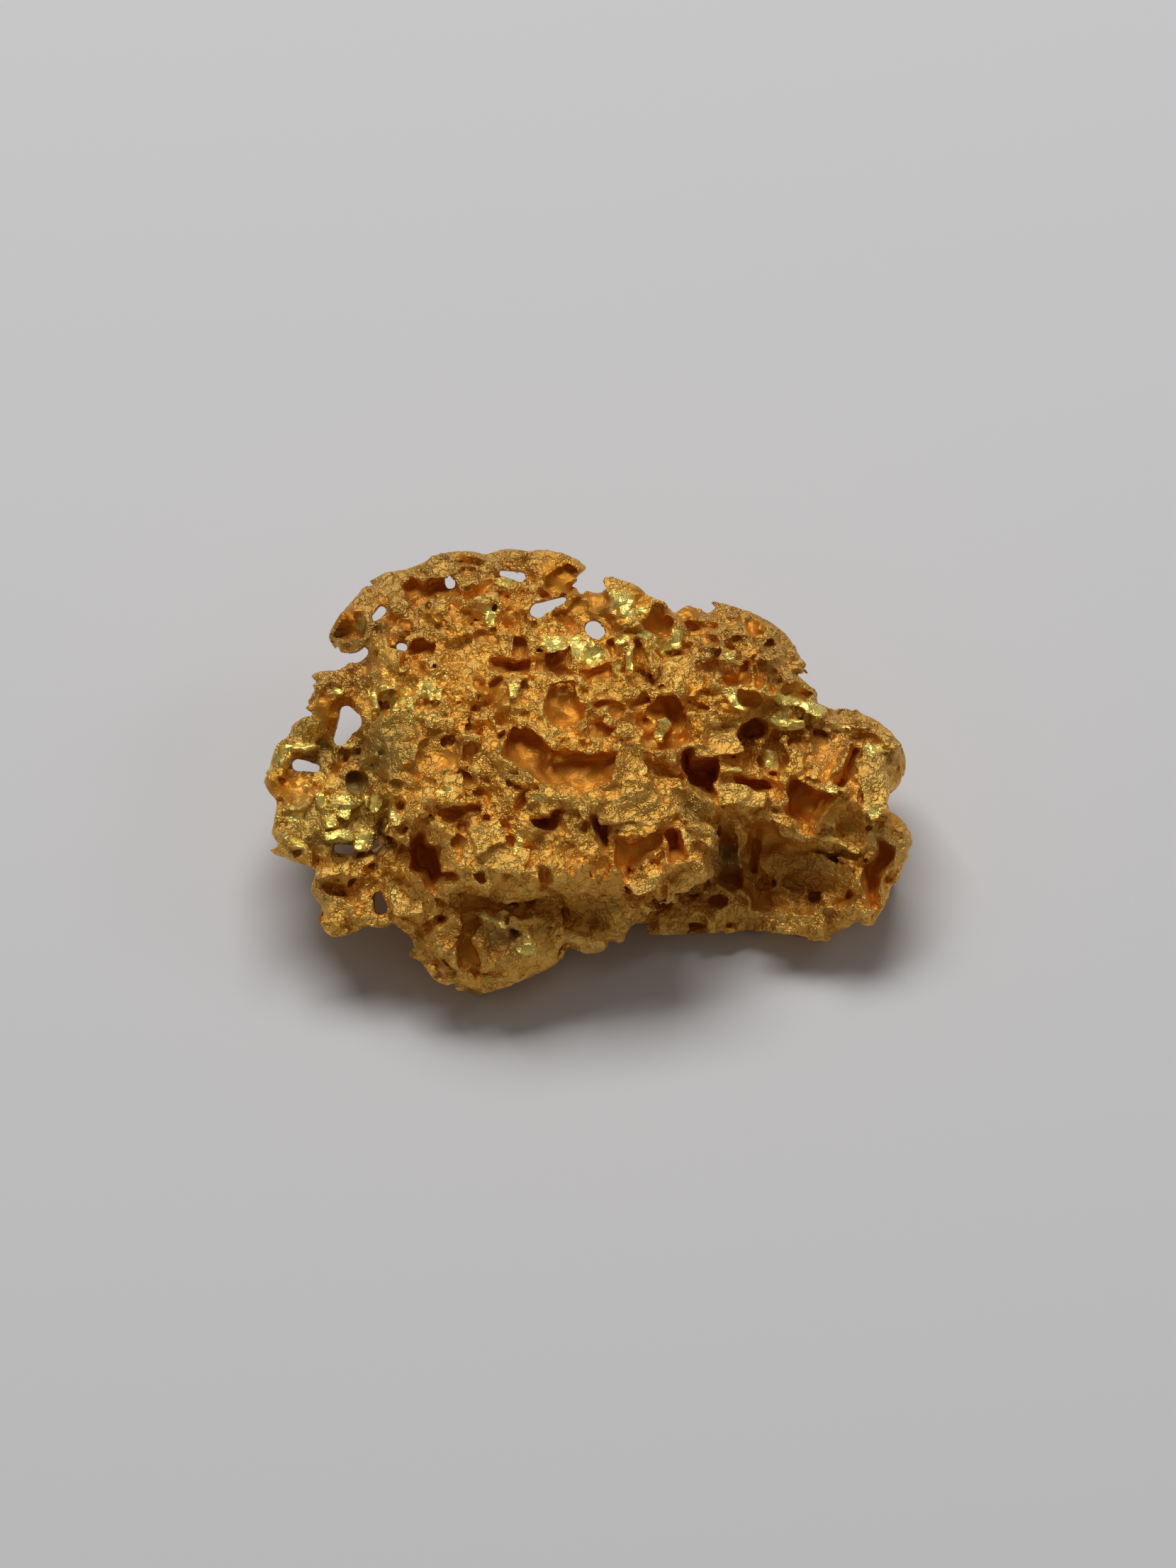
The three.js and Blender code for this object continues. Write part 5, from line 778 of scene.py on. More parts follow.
for i in range(2 * BACK_HOLLOWS):
    height = 1 - (i + 0.5) / BACK_HOLLOWS
    ring = math.sqrt(max(0, 1 - height * height))
    golden = i * math.pi * (3 - math.sqrt(5))
    out = np.array([ring * math.cos(golden), ring * math.sin(golden), height])
    spin = between(0, math.pi)
    half = (between(*BACK_HOLLOW_HALF), between(*BACK_HOLLOW_HALF))
    depth = between(*BACK_HOLLOW_DEPTH)
    if height > BACK_FACING:
        continue
    for t in np.arange(1, 0.1, -0.01):
        spot = MIDDLE + out * REACH * t
        if crust[grid_index(spot)] < 0:
            break
    else:
        continue
    i_u, i_v, _ = grid_index(spot)
    if edge[i_u, i_v] > -RIM_CLEAR and rim_half[i_u, i_v] < THIN_RIM:
        continue
    cut_box(gold, spot, axes_towards(out / REACH, spin), half, depth)

# Small pits of the side that is seen, between the large hollows: about one to each square of the
# picture plane, each with its own uneven outline

PIT_SPACING = 0.85
PIT_SHARE = 0.5  # share of the squares that have a pit
PIT_HALF = (0.14, 0.48)  # smallest and largest half size and depth
PIT_DEPTH = (0.18, 0.45)
PIT_WIDTH = (0.3, 0.75)  # width of a pit, as a share of its length
PIT_UNEVEN = (0.5, 1.4)  # a corner's distance from the pit's middle, as a share of its half size
PIT_CORNERS = 7
PIT_CLEAR = 0.3  # how far in from the outline
PIT_APART = 0.6  # how far from a large hollow, as a share of its half size
PIT_CALM = 0.4  # a stretch as calm as this has none
large = np.full(plane_u.shape, 1e9)
for _, _, loop in HOLLOWS:
    large = np.minimum(large, loop_distance(plane_u, plane_v, smooth_loop(loop, LOOP_STEPS)))
for row in range(int(2 * HIGH[1] / PIT_SPACING)):
    for column in range(int(2 * HIGH[0] / PIT_SPACING)):
        mu = LOW[0] + (column + draw()) * PIT_SPACING
        mv = LOW[1] + (row + draw()) * PIT_SPACING
        size = between(*PIT_HALF)
        depth = min(between(*PIT_DEPTH), 2 * size)
        turn = between(0, math.pi)
        narrow = between(*PIT_WIDTH)
        radii = [size * between(*PIT_UNEVEN) for _ in range(PIT_CORNERS)]
        wanted = draw() < PIT_SHARE
        i_u, i_v, _ = grid_index((mu, mv, 0))
        if not wanted or calm[i_u, i_v] > PIT_CALM:
            continue
        if large[i_u, i_v] < PIT_APART * size or edge[i_u, i_v] > -size - PIT_CLEAR:
            continue
        loop = []
        for corner, radius in enumerate(radii):
            angle = 2 * math.pi * corner / PIT_CORNERS
            a, b = radius * math.cos(angle), narrow * radius * math.sin(angle)
            corner_u = mu + a * math.cos(turn) - b * math.sin(turn)
            corner_v = mv + a * math.sin(turn) + b * math.cos(turn)
            loop.append((corner_u, corner_v))
        cut_seen_hollow(gold, depth, loop)

KNOB_FOOT = 1.2  # how far a knob reaches down into the gold
KNOB_BLEND = 0.15  # how far it flows into the crust
for _, at, half, turn, rise in KNOBS:
    small = min(half)
    origin = np.array([*at, seen_depth(*at) + rise - small])
    part, offset = near(origin, max(half) + KNOB_FOOT + SPARE)
    a, b, c = turned(offset, facing_axes(turn))
    drop = np.where(c < 0, np.maximum(0, -c - KNOB_FOOT), c)
    gold[part] = smooth_min(gold[part], ellipsoid([a, b, drop], (*half, small)), KNOB_BLEND)

# Clean crystal faces, the brightest spots of the gold, painted a paler yellow as painted highlights: middle
# [u, v], half sizes, turn in degrees
FACES = [
    ((-9.53, -1.12), (0.15, 0.2), 10), ((-10.46, -1.69), (0.24, 0.12), -4),
    ((-9.19, -1.86), (0.16, 0.2), 8), ((-8.88, -1.06), (0.3, 0.08), 25),
    ((-8.62, -1.41), (0.3, 0.14), 60), ((-7.6, -1.16), (0.13, 0.27), -12),
    ((-7.28, -1.2), (0.06, 0.22), -20), ((-7.97, -1.1), (0.06, 0.22), 6),
    ((-8.83, -2.44), (0.52, 0.15), 5), ((-7.98, -2.52), (0.2, 0.4), -28),
    ((-10.52, -2.56), (0.42, 0.07), -30), ((-9.3, -2.9), (0.12, 0.1), 0),
    ((-6.9, -1.5), (0.12, 0.17), 20), ((-6.74, -1.8), (0.12, 0.15), 0),
    ((-7.2, -2.0), (0.08, 0.24), -15), ((-10.4, 0.88), (0.6, 0.07), 4),
    ((-11.1, 0.45), (0.16, 0.09), 30), ((-11.5, 0.08), (0.14, 0.1), 20),
    ((-9.0, 2.87), (0.16, 0.1), -15), ((-7.6, 2.6), (0.1, 0.22), 0), ((-7.2, 2.8), (0.08, 0.25), 8),
    ((-6.9, 2.55), (0.09, 0.28), -6), ((-6.55, 2.75), (0.08, 0.22), 4), ((-6.2, 2.4), (0.09, 0.22), 10),
    ((-5.85, 3.0), (0.08, 0.3), -8), ((-5.55, 2.9), (0.08, 0.3), 3), ((-5.25, 2.75), (0.07, 0.2), 0),
    ((-2.5, 2.93), (0.13, 0.24), 6), ((-1.05, 4.62), (0.36, 0.26), 4), ((-0.25, 4.5), (0.17, 0.35), 14),
    ((-2.85, 6.95), (0.2, 0.12), 0), ((0.3, 4.25), (0.38, 0.34), -38), ((-0.9, 0.4), (0.12, 0.1), 0),
    ((2.25, 4.97), (0.22, 0.12), -15), ((2.85, 4.62), (0.3, 0.12), -24), ((3.42, 4.8), (0.12, 0.36), -8),
    ((3.1, 4.42), (0.22, 0.1), 30), ((1.25, 6.3), (0.12, 0.3), 38), ((1.62, 5.95), (0.14, 0.34), -12),
    ((2.0, 5.8), (0.22, 0.08), 20), ((1.45, 4.75), (0.24, 0.1), 20), ((1.72, 4.1), (0.08, 0.5), 0),
    ((1.3, 3.75), (0.12, 0.2), 10), ((5.5, 4.05), (0.3, 0.07), -35), ((5.45, 2.72), (0.12, 0.28), 32),
    ((5.75, 2.35), (0.26, 0.08), -20), ((7.15, 1.8), (0.3, 0.17), -14), ((7.75, 1.6), (0.34, 0.13), 12),
    ((8.25, 2.33), (0.55, 0.11), -24), ((7.45, 2.62), (0.4, 0.08), -8), ((9.6, 1.5), (0.52, 0.08), -24),
    ((10.65, 0.78), (0.34, 0.12), 6), ((2.92, 1.55), (0.15, 0.38), -28), ((2.5, 0.97), (0.2, 0.08), 0),
    ((5.45, -0.02), (0.26, 0.08), 14), ((6.9, 0.36), (0.32, 0.25), -8), ((10.6, -1.52), (0.16, 0.14), 0),
    ((9.02, -0.74), (0.13, 0.1), 0), ((-7.5, -4.98), (0.22, 0.07), -10),
    ((-2.05, -6.55), (0.3, 0.1), -8), ((-2.0, -6.2), (0.1, 0.34), 12), ((-3.2, -5.45), (0.5, 0.08), -28),
    ((-5.0, -0.75), (0.26, 0.08), 28), ((-2.3, -2.6), (0.07, 0.4), -10),
    ((-1.65, -1.05), (0.13, 0.1), 10), ((-8.1, 5.4), (0.07, 0.2), 0), ((-3.4, 5.6), (0.14, 0.28), 0),
]

# Flat islands of crust that stand higher than the rest: middle [u, v], half sizes, turn, rise, and
# from 0, along the crust, to 1, level with the table
ISLANDS = [
    ((4.85, 1.35), (0.78, 0.75), 6, 0.6, 1.0), ((10.6, -0.5), (0.5, 1.0), 4, 0.2, 0.6),
    ((-6.4, -4.6), (0.45, 0.55), 0, 0.1, 0.8), ((1.9, 0.1), (0.45, 0.35), 10, 0.1, 0.6),
    ((-3.5, -2.4), (0.6, 0.5), 20, 0.08, 0.5), ((3.4, 3.6), (0.8, 0.45), 10, 0.08, 0.5),
    ((8.6, -3.8), (1.1, 0.6), -12, 0.5, 0.15), ((-3.35, 0.95), (0.45, 0.3), -12, 0.1, 0.7),
    ((-0.35, 1.12), (0.42, 0.24), 4, 0.12, 0.8), ((5.7, -0.98), (0.85, 0.26), -8, 0.12, 0.8),
    ((1.7, -1.35), (1.0, 0.5), 4, 0.1, 0.4), ((-5.1, -0.75), (0.7, 0.32), 14, 0.1, 0.6),
    ((-2.7, -3.3), (0.7, 0.45), -16, 0.1, 0.5), ((4.15, -2.4), (0.55, 0.22), -12, 0.1, 0.9),
    ((2.3, -3.95), (0.6, 0.2), 34, 0.1, 0.9), ((7.1, -1.75), (0.6, 0.12), -28, 0.12, 0.9),
    ((8.2, -2.22), (0.6, 0.12), -18, 0.12, 0.9), ((9.4, -2.65), (0.6, 0.12), -20, 0.12, 0.9),
    ((-9.1, -3.65), (0.6, 0.13), 12, 0.1, 0.9), ((-8.2, -3.4), (0.5, 0.13), 20, 0.1, 0.9),
    ((-7.3, -2.95), (0.5, 0.13), 40, 0.1, 0.9), ((-4.2, 3.8), (0.7, 0.5), 20, 0.08, 0.6),
    ((-1.3, -4.3), (0.7, 0.25), 10, 0.08, 0.7), ((-4.7, -4.4), (0.4, 0.3), 30, 0.1, 0.7),
    ((0.9, 2.9), (0.5, 0.35), 0, 0.08, 0.6), ((-5.2, 1.7), (0.6, 0.25), -8, 0.08, 0.6),
]
ISLAND_FOOT = 1.2  # how far an island reaches down into the gold
FACE_FOOT = 0.5  # and a face
FACE_RISE = 0.07  # of a face over the crust
FACE_LEVEL = 0.75  # from 0, a face that lies along the crust, to 1, one that is level
FACE_FEEL = 0.3  # how far out the crust's own slope is felt
FACE_GROW = 0.03  # past its half sizes
FACE_ROUND = 0.04  # of its edges
FACE_FADE = 0.06  # how softly a face's shine ends
FACE_SPARE = 0.4  # grid left free around a face


def face_distance(u, v, half, turn):
    """Signed distance to a turned rectangle around the origin, near enough close to it."""
    c, s = math.cos(math.radians(turn)), math.sin(math.radians(turn))
    return np.maximum(np.abs(u * c + v * s) - half[0], np.abs(v * c - u * s) - half[1]) - FACE_GROW


def face_share(u, v):
    """1 on a clean face and 0 off it, at each place in the picture plane."""
    share = [0.5 - face_distance(u - at[0], v - at[1], half, turn) / FACE_FADE for at, half, turn in FACES]
    return np.clip(np.max(share, 0), 0, 1)


def lay_face(at, half, turn, level, rise, foot):
    """Lays a flat face over the gold: level from 0, along the crust, to 1, level with the table."""
    spots = FACE_FEEL * np.array([(-1, 0), (1, 0), (0, -1), (0, 1)])
    depths = np.array([seen_depth(*(spot + at)) for spot in spots])
    crust_lean = np.clip((depths[[1, 3]] - depths[[0, 2]]) / (2 * FACE_FEEL), -1, 1)
    lean_u, lean_v = level * np.array([0, -COS / SIN]) + (1 - level) * crust_lean
    origin = np.array([*at, seen_depth(*at, gold) + rise])
    part, (a, b, c) = near(origin, max(half) + foot + FACE_SPARE)
    above = c - lean_u * a - lean_v * b
    plate = smooth_max(face_distance(a, b, half, turn), np.maximum(above, -above - foot), FACE_ROUND)
    gold[part] = smooth_min(gold[part], plate, FACE_ROUND)


for at, half, turn, rise, level in ISLANDS:
    lay_face(at, half, turn, level, rise, ISLAND_FOOT)
for at, half, turn in FACES:
    lay_face(at, half, turn, FACE_LEVEL, FACE_RISE, FACE_FOOT)

hole = np.full(plane_u.shape, 1e9)
for _, start, end, radius in HOLES:
    eu, ev = end[0] - start[0], end[1] - start[1]
    t = np.clip(((plane_u - start[0]) * eu + (plane_v - start[1]) * ev) / (eu * eu + ev * ev), 0, 1)
    width = radius[0] + t * (radius[1] - radius[0])
    hole = np.minimum(hole, np.hypot(plane_u - start[0] - t * eu, plane_v - start[1] - t * ev) - width)
gold = np.maximum(np.maximum(gold, edge3), -hole[:, :, None]).astype(np.float32)
gold = np.maximum(gold, -Z)


# The gold's skin is one closed surface, drawn where the field is zero: one vertex in each cell that
# the surface crosses, pulled onto the planes of its crossings, so that the rims stay crisp. Loose
# crumbs and sealed bubbles are left out.

SLIGHT = -0.02 * CELL  # the field at a place that is only just gold
CORNER_ROUNDS = 12  # the most times that contacts are looked for
PULLS = 6  # times that a vertex is pulled onto its planes
CELL_INSET = 0.05  # how far a vertex stays inside its cell
CORNERS = [(i, j, k) for i in (0, 1) for j in (0, 1) for k in (0, 1)]


def shifted(field, step, axes=(0, 1, 2)):
    """A view of the field that starts step grid points on along the axes, one point shorter."""
    cut = [slice(None)] * 3
    for axis, by in zip(axes, step):
        cut[axis] = slice(by, field.shape[axis] - 1 + by)
    return field[tuple(cut)]


def corners_inside(inside):
    """How many of its eight corners lie inside the gold, for each cell."""
    return sum(shifted(inside, corner).astype(np.int8) for corner in CORNERS)


def close_corners(field):
    """Fills corner-to-corner contacts, which no real solid has."""
    for _ in range(CORNER_ROUNDS):
        inside = field < 0
        fill = np.zeros(field.shape, bool)
        for axes in ((0, 1), (0, 2), (1, 2)):
            c00, c10, c01, c11 = (shifted(inside, step, axes) for step in ((0, 0), (1, 0), (0, 1), (1, 1)))
            shifted(fill, (1, 0), axes)[...] |= c00 & c11 & ~c10 & ~c01
            shifted(fill, (0, 0), axes)[...] |= ~c00 & ~c11 & c10 & c01
        total = corners_inside(inside)
        for i, j, k in ((0, 0, 0), (1, 0, 0), (0, 1, 0), (0, 0, 1)):
            one, other = shifted(inside, (i, j, k)), shifted(inside, (1 - i, 1 - j, 1 - k))
            shifted(fill, (1 - i, j, k))[...] |= (total == 2) & one & other
            shifted(fill, (i, j, k))[...] |= (total == 6) & ~one & ~other
        if not fill.any():
            return
        field[fill & ~inside] = SLIGHT


def draw_skin(field):
    """Vertices in the picture plane's frame, in millimetres, and four-sided faces."""
    inside = field < 0
    total = corners_inside(inside)
    cells = np.argwhere((total > 0) & (total < len(CORNERS)))
    number = np.full(total.shape, -1, np.int64)
    number[tuple(cells.T)] = np.arange(len(cells))
    slopes = np.stack([np.gradient(field, axis=k).astype(np.float32) for k in range(3)], -1)
    found = {}
    for c in CORNERS:
        at = tuple((cells + c).T)
        slope = slopes[at]
        found[c] = (field[at], slope / (np.linalg.norm(slope, axis=1, keepdims=True) + 1e-9))
    del slopes
    places, normals, counts = [], [], []
    for c in CORNERS:
        for axis in range(3):
            if c[axis]:
                continue
            d = tuple(x + (k == axis) for k, x in enumerate(c))
            (fa, na), (fb, nb) = found[c], found[d]
            crossed = (fa < 0) != (fb < 0)
            t = np.where(crossed, fa / np.where(crossed, fa - fb, 1), 0)[:, None]
            places.append(np.array(c) * (1 - t) + np.array(d) * t)
            normals.append(na * (1 - t) + nb * t)
            counts.append(crossed)
    counts = np.stack(counts, 1)[..., None]
    places = np.stack(places, 1)
    normals = np.stack(normals, 1)
    share = counts / counts.sum(1, keepdims=True)
    p = (places * share).sum(1)
    for _ in range(PULLS):
        off = ((places - p[:, None]) * normals).sum(-1, keepdims=True)
        p = np.clip(p + (normals * off * share).sum(1), CELL_INSET, 1 - CELL_INSET)
    points = LOW + CELL * (cells + p)
    faces = []
    for axis in range(3):
        s, t = (axis + 1) % 3, (axis + 2) % 3
        here = np.argwhere(np.diff(inside.astype(np.int8), axis=axis) != 0)
        here = here[(here[:, s] > 0) & (here[:, t] > 0)]
        back_s, back_t = np.eye(3, dtype=int)[s], np.eye(3, dtype=int)[t]
        ring = [number[tuple((here - back).T)] for back in (0 * back_s, back_s, back_s + back_t, back_t)]
        quads = np.stack(ring, 1)
        solid = inside[tuple(here.T)]
        quads[~solid] = quads[~solid][:, ::-1]
        faces.append(quads)
    return points, np.concatenate(faces)


def largest_skin(points, faces):
    """The one closed surface with the most vertices, without the others."""
    label = np.arange(len(points))
    ends = np.concatenate([faces[:, [0, 1]], faces[:, [1, 2]], faces[:, [2, 3]]])
    while True:
        low = np.minimum(label[ends[:, 0]], label[ends[:, 1]])
        before = label.copy()
        np.minimum.at(label, ends[:, 0], low)
        np.minimum.at(label, ends[:, 1], low)
        label = label[label]
        if (label == before).all():
            break
    keep = label == np.bincount(label).argmax()
    renumber = np.cumsum(keep) - 1
    return points[keep], renumber[faces[keep[faces[:, 0]]]]


close_corners(gold)
points, faces = largest_skin(*draw_skin(gold))

# From the picture plane to the CAD's own frame: true length, middle of the footprint at the origin
SCALE = LENGTH / MEASURED_LENGTH
u, v, w = points.T
skin = np.stack([u, v * SIN - w * COS, v * COS + w * SIN], 1) * SCALE
shift = np.array([*(skin[:, :2].min(0) + skin[:, :2].max(0)) / 2, 0.0])
skin = (skin - shift) * MM

nugget_mesh = bpy.data.meshes.new("gold_skin")
nugget_mesh.from_pydata(skin.tolist(), [], faces.tolist())
nugget = bpy.data.objects.new("gold_skin", nugget_mesh)
bpy.context.collection.objects.link(nugget)
nugget_mesh.validate()


def seen_place(mesh):
    """Where each vertex of the nugget's mesh lies: u, v and w."""
    place = np.empty(len(mesh.vertices) * 3)
    mesh.vertices.foreach_get("co", place)
    x, y, z = ((place.reshape(-1, 3) / MM + shift) / SCALE).T
    return x, y * SIN + z * COS, z * SIN - y * COS


def sample(field, mesh):
    """Reads a field at each vertex of the nugget's mesh."""
    at = np.clip((np.stack(seen_place(mesh), 1) - LOW) / CELL, 0, COUNT - 1.001)
    low = np.floor(at).astype(int)
    t = at - low
    value = 0
    for corner in CORNERS:
        share = np.prod(np.where(corner, t, 1 - t), axis=1)
        value = value + share * field[tuple((low + corner).T)]
    return value


def blurred(field, reach):
    """Box blur along all three axes, reach cells each way, twice."""
    for _ in range(2):
        for axis in range(3):
            before, after = field.take([0] * (reach + 1), axis), field.take([-1] * reach, axis)
            padded = np.concatenate([before, field, after], axis)
            total = np.cumsum(padded, axis, dtype=np.float64)
            n = field.shape[axis]
            high = total.take(range(2 * reach + 1, 2 * reach + 1 + n), axis)
            low = total.take(range(0, n), axis)
            field = ((high - low) / (2 * reach + 1)).astype(np.float32)
    return field


def write_attribute(mesh, name, values):
    """Keeps one number at each vertex for the crinkle and the finish to read."""
    mesh.attributes.new(name, "FLOAT", "POINT").data.foreach_set("value", values.astype(np.float32))


# The crust's crinkle covers the skin: small flat crystal faces of two sizes that meet at slight
# steps, on slow swells. It is almost smooth inside the hollows, where the gold lay against the
# quartz. One Geometry Nodes tree makes it all over, and its result becomes the plain mesh.

gold_material = bpy.data.materials.new("native_gold")

CRINKLE = {
    "Facet size": 0.42 * MM,
    "Facet tilt": 0.1,
    "Small facet size": 0.22 * MM,
    "Small facet tilt": 0.08,
    "Swell size": 0.7 * MM,
    "Swell height": 0.05 * MM,
    "Seed": 7.0,
}


def node_maker(tree, kind):
    """Returns a function that adds a node of one kind, given its operation and what goes in."""
    def make(operation, *given):
        made = tree.nodes.new(kind)
        made.operation = operation
        for socket, value in zip(made.inputs, given):
            if isinstance(value, bpy.types.NodeSocket):
                tree.links.new(value, socket)
            else:
                socket.default_value = value
        return made.outputs[0]
    return make


def crinkle_tree():
    """Facets of two sizes and slow swells, which push the skin out and in where it is crinkled."""
    tree = bpy.data.node_groups.new("crinkle", "GeometryNodeTree")
    tree.interface.new_socket("Geometry", in_out="INPUT", socket_type="NodeSocketGeometry")
    tree.interface.new_socket("Geometry", in_out="OUTPUT", socket_type="NodeSocketGeometry")
    for name, value in CRINKLE.items():
        socket = tree.interface.new_socket(name, in_out="INPUT", socket_type="NodeSocketFloat")
        socket.default_value = value
    node = tree.nodes.new
    link = tree.links.new
    given = node("NodeGroupInput")
    position = node("GeometryNodeInputPosition").outputs[0]
    normal = node("GeometryNodeInputNormal").outputs[0]

    reckon = node_maker(tree, "ShaderNodeMath")
    vectors = node_maker(tree, "ShaderNodeVectorMath")

    def facets(size, tilt):
        """Height of flat faces, each turned its own way about its own middle."""
        cells = node("ShaderNodeTexVoronoi")
        cells.voronoi_dimensions = "4D"
        link(position, cells.inputs["Vector"])
        link(given.outputs["Seed"], cells.inputs["W"])
        link(reckon("DIVIDE", 1.0, given.outputs[size]), cells.inputs["Scale"])
        across = vectors("SUBTRACT", position, cells.outputs["Position"])
        lean = vectors("SUBTRACT", cells.outputs["Color"], (0.5, 0.5, 0.5))
        slope = node("ShaderNodeVectorMath")
        slope.operation = "DOT_PRODUCT"
        link(across, slope.inputs[0])
        link(lean, slope.inputs[1])
        return reckon("MULTIPLY", reckon("MULTIPLY", slope.outputs["Value"], 2.0), given.outputs[tilt])

    swells = node("ShaderNodeTexNoise")
    swells.noise_dimensions = "4D"
    swells.inputs["Detail"].default_value = 3.0
    link(position, swells.inputs["Vector"])
    link(given.outputs["Seed"], swells.inputs["W"])
    link(reckon("DIVIDE", 1.0, given.outputs["Swell size"]), swells.inputs["Scale"])
    swell = reckon("SUBTRACT", swells.outputs["Fac"], 0.5)
    swell = reckon("MULTIPLY", reckon("MULTIPLY", swell, 2.0), given.outputs["Swell height"])
    coarse, fine = facets("Facet size", "Facet tilt"), facets("Small facet size", "Small facet tilt")
    crinkled = node("GeometryNodeInputNamedAttribute")
    crinkled.data_type = "FLOAT"
    crinkled.inputs["Name"].default_value = "crinkled"
    height = reckon("ADD", reckon("ADD", coarse, fine), swell)
    push = node("ShaderNodeVectorMath")
    push.operation = "SCALE"
    link(normal, push.inputs[0])
    link(reckon("MULTIPLY", height, crinkled.outputs["Attribute"]), push.inputs["Scale"])
    moved = node("GeometryNodeSetPosition")
    link(given.outputs["Geometry"], moved.inputs["Geometry"])
    link(push.outputs[0], moved.inputs["Offset"])
    realized = node("GeometryNodeRealizeInstances")
    link(moved.outputs[0], realized.inputs[0])
    finish = node("GeometryNodeSetMaterial")
    finish.inputs["Material"].default_value = gold_material
    link(realized.outputs[0], finish.inputs["Geometry"])
    link(finish.outputs[0], node("NodeGroupOutput").inputs[0])
    return tree


HOLLOW_START = 0.12  # depth below the crust, in millimetres, where a hollow's smooth wall begins
HOLLOW_FULL = 0.45  # and where it is as smooth as it gets
HOLLOW_SMOOTH = 0.72  # how much of the crinkle its walls have lost
OLIVE_SMOOTH = 0.7  # how much an olive stretch is like such a wall
FOOT_TOP = 0.12  # the crinkle fades in over this height
FOOT_FLAT = 0.2  # and the lowest part of it, as a share, has none
skin_u, skin_v, _ = seen_place(nugget_mesh)
depth_below = -sample(crust, nugget_mesh)
worn = np.max([
    np.clip((depth_below - HOLLOW_START) / (HOLLOW_FULL - HOLLOW_START), 0, 1),
    stretch_of("amber", skin_u, skin_v),
    OLIVE_SMOOTH * stretch_of("smooth_and_painted_olive", skin_u, skin_v),
    face_share(skin_u, skin_v),
], 0)
above_foot = np.clip(skin[:, 2] / MM / FOOT_TOP - FOOT_FLAT, 0, 1)
write_attribute(nugget_mesh, "crinkled", (1 - HOLLOW_SMOOTH * worn) * above_foot)

crinkle = nugget.modifiers.new("crinkle", "NODES")
crinkle.node_group = crinkle_tree()
for item in crinkle.node_group.interface.items_tree:
    if item.in_out == "INPUT" and item.name in CRINKLE:
        crinkle[item.identifier] = CRINKLE[item.name]

TRIANGLES = 198000  # the most that the finished mesh has
fewer = nugget.modifiers.new("fewer", "DECIMATE")
fewer.ratio = min(1.0, TRIANGLES / (2 * len(faces)))
bpy.context.view_layer.update()
view = bpy.context.evaluated_depsgraph_get()
finished_mesh = bpy.data.meshes.new_from_object(nugget.evaluated_get(view), depsgraph=view)
finished_mesh.name = "nugget_gold"
nugget.modifiers.clear()
nugget.data = finished_mesh
nugget.name = "nugget_gold"


# Gold colours its own light: each bounce inside a hollow takes out more blue and green, so hollows
# go from amber to red brown while the crust stays pale. Here that bounce light and the shade in
# hollows and creases are painted into the colour. The crust is satin and finely grained, and the
# hollows and the single crystal faces are shiny, with painted glints on the faces and shiny stretches.

seen_u, seen_v, seen_w = seen_place(finished_mesh)
for kind in ("amber", "smooth_and_painted_olive", "tan", "painted_shade_patch"):
    write_attribute(finished_mesh, kind, stretch_of(kind, seen_u, seen_v))
write_attribute(finished_mesh, "proud", np.clip(sample(crust, finished_mesh), 0, 1))
write_attribute(finished_mesh, "hollow", np.clip(-sample(crust, finished_mesh), 0, 2))

# The clean faces and the shine, with their painted glints, are on the side that is seen, not on the back
SEEN_DEPTH = (0.4, 0.8)  # below the first gold that the eye meets, where they end
top = LOW[2] + CELL * (COUNT[2] - 1 - np.argmax(gold[:, :, ::-1] < 0, 2))
nearest = [np.round((x - LOW[k]) / CELL).astype(int) for k, x in enumerate((seen_u, seen_v))]
top_at = tuple(np.clip(x, 0, COUNT[k] - 1) for k, x in enumerate(nearest))
hidden = (top[top_at] - seen_w - SEEN_DEPTH[0]) / (SEEN_DEPTH[1] - SEEN_DEPTH[0])
seen = 1 - np.clip(hidden, 0, 1)
write_attribute(finished_mesh, "clean_face", seen * face_share(seen_u, seen_v))
write_attribute(finished_mesh, "shine_and_painted_glint", seen * stretch_of("shine_and_painted_glint", seen_u, seen_v))

SHADE_REACH = {"narrow": 3, "wide": 8}  # cells of blur that find the narrow and the wide hollows
solid = (gold < 0).astype(np.float32)
for name, reach in SHADE_REACH.items():
    write_attribute(finished_mesh, name, sample(blurred(solid, reach), finished_mesh))


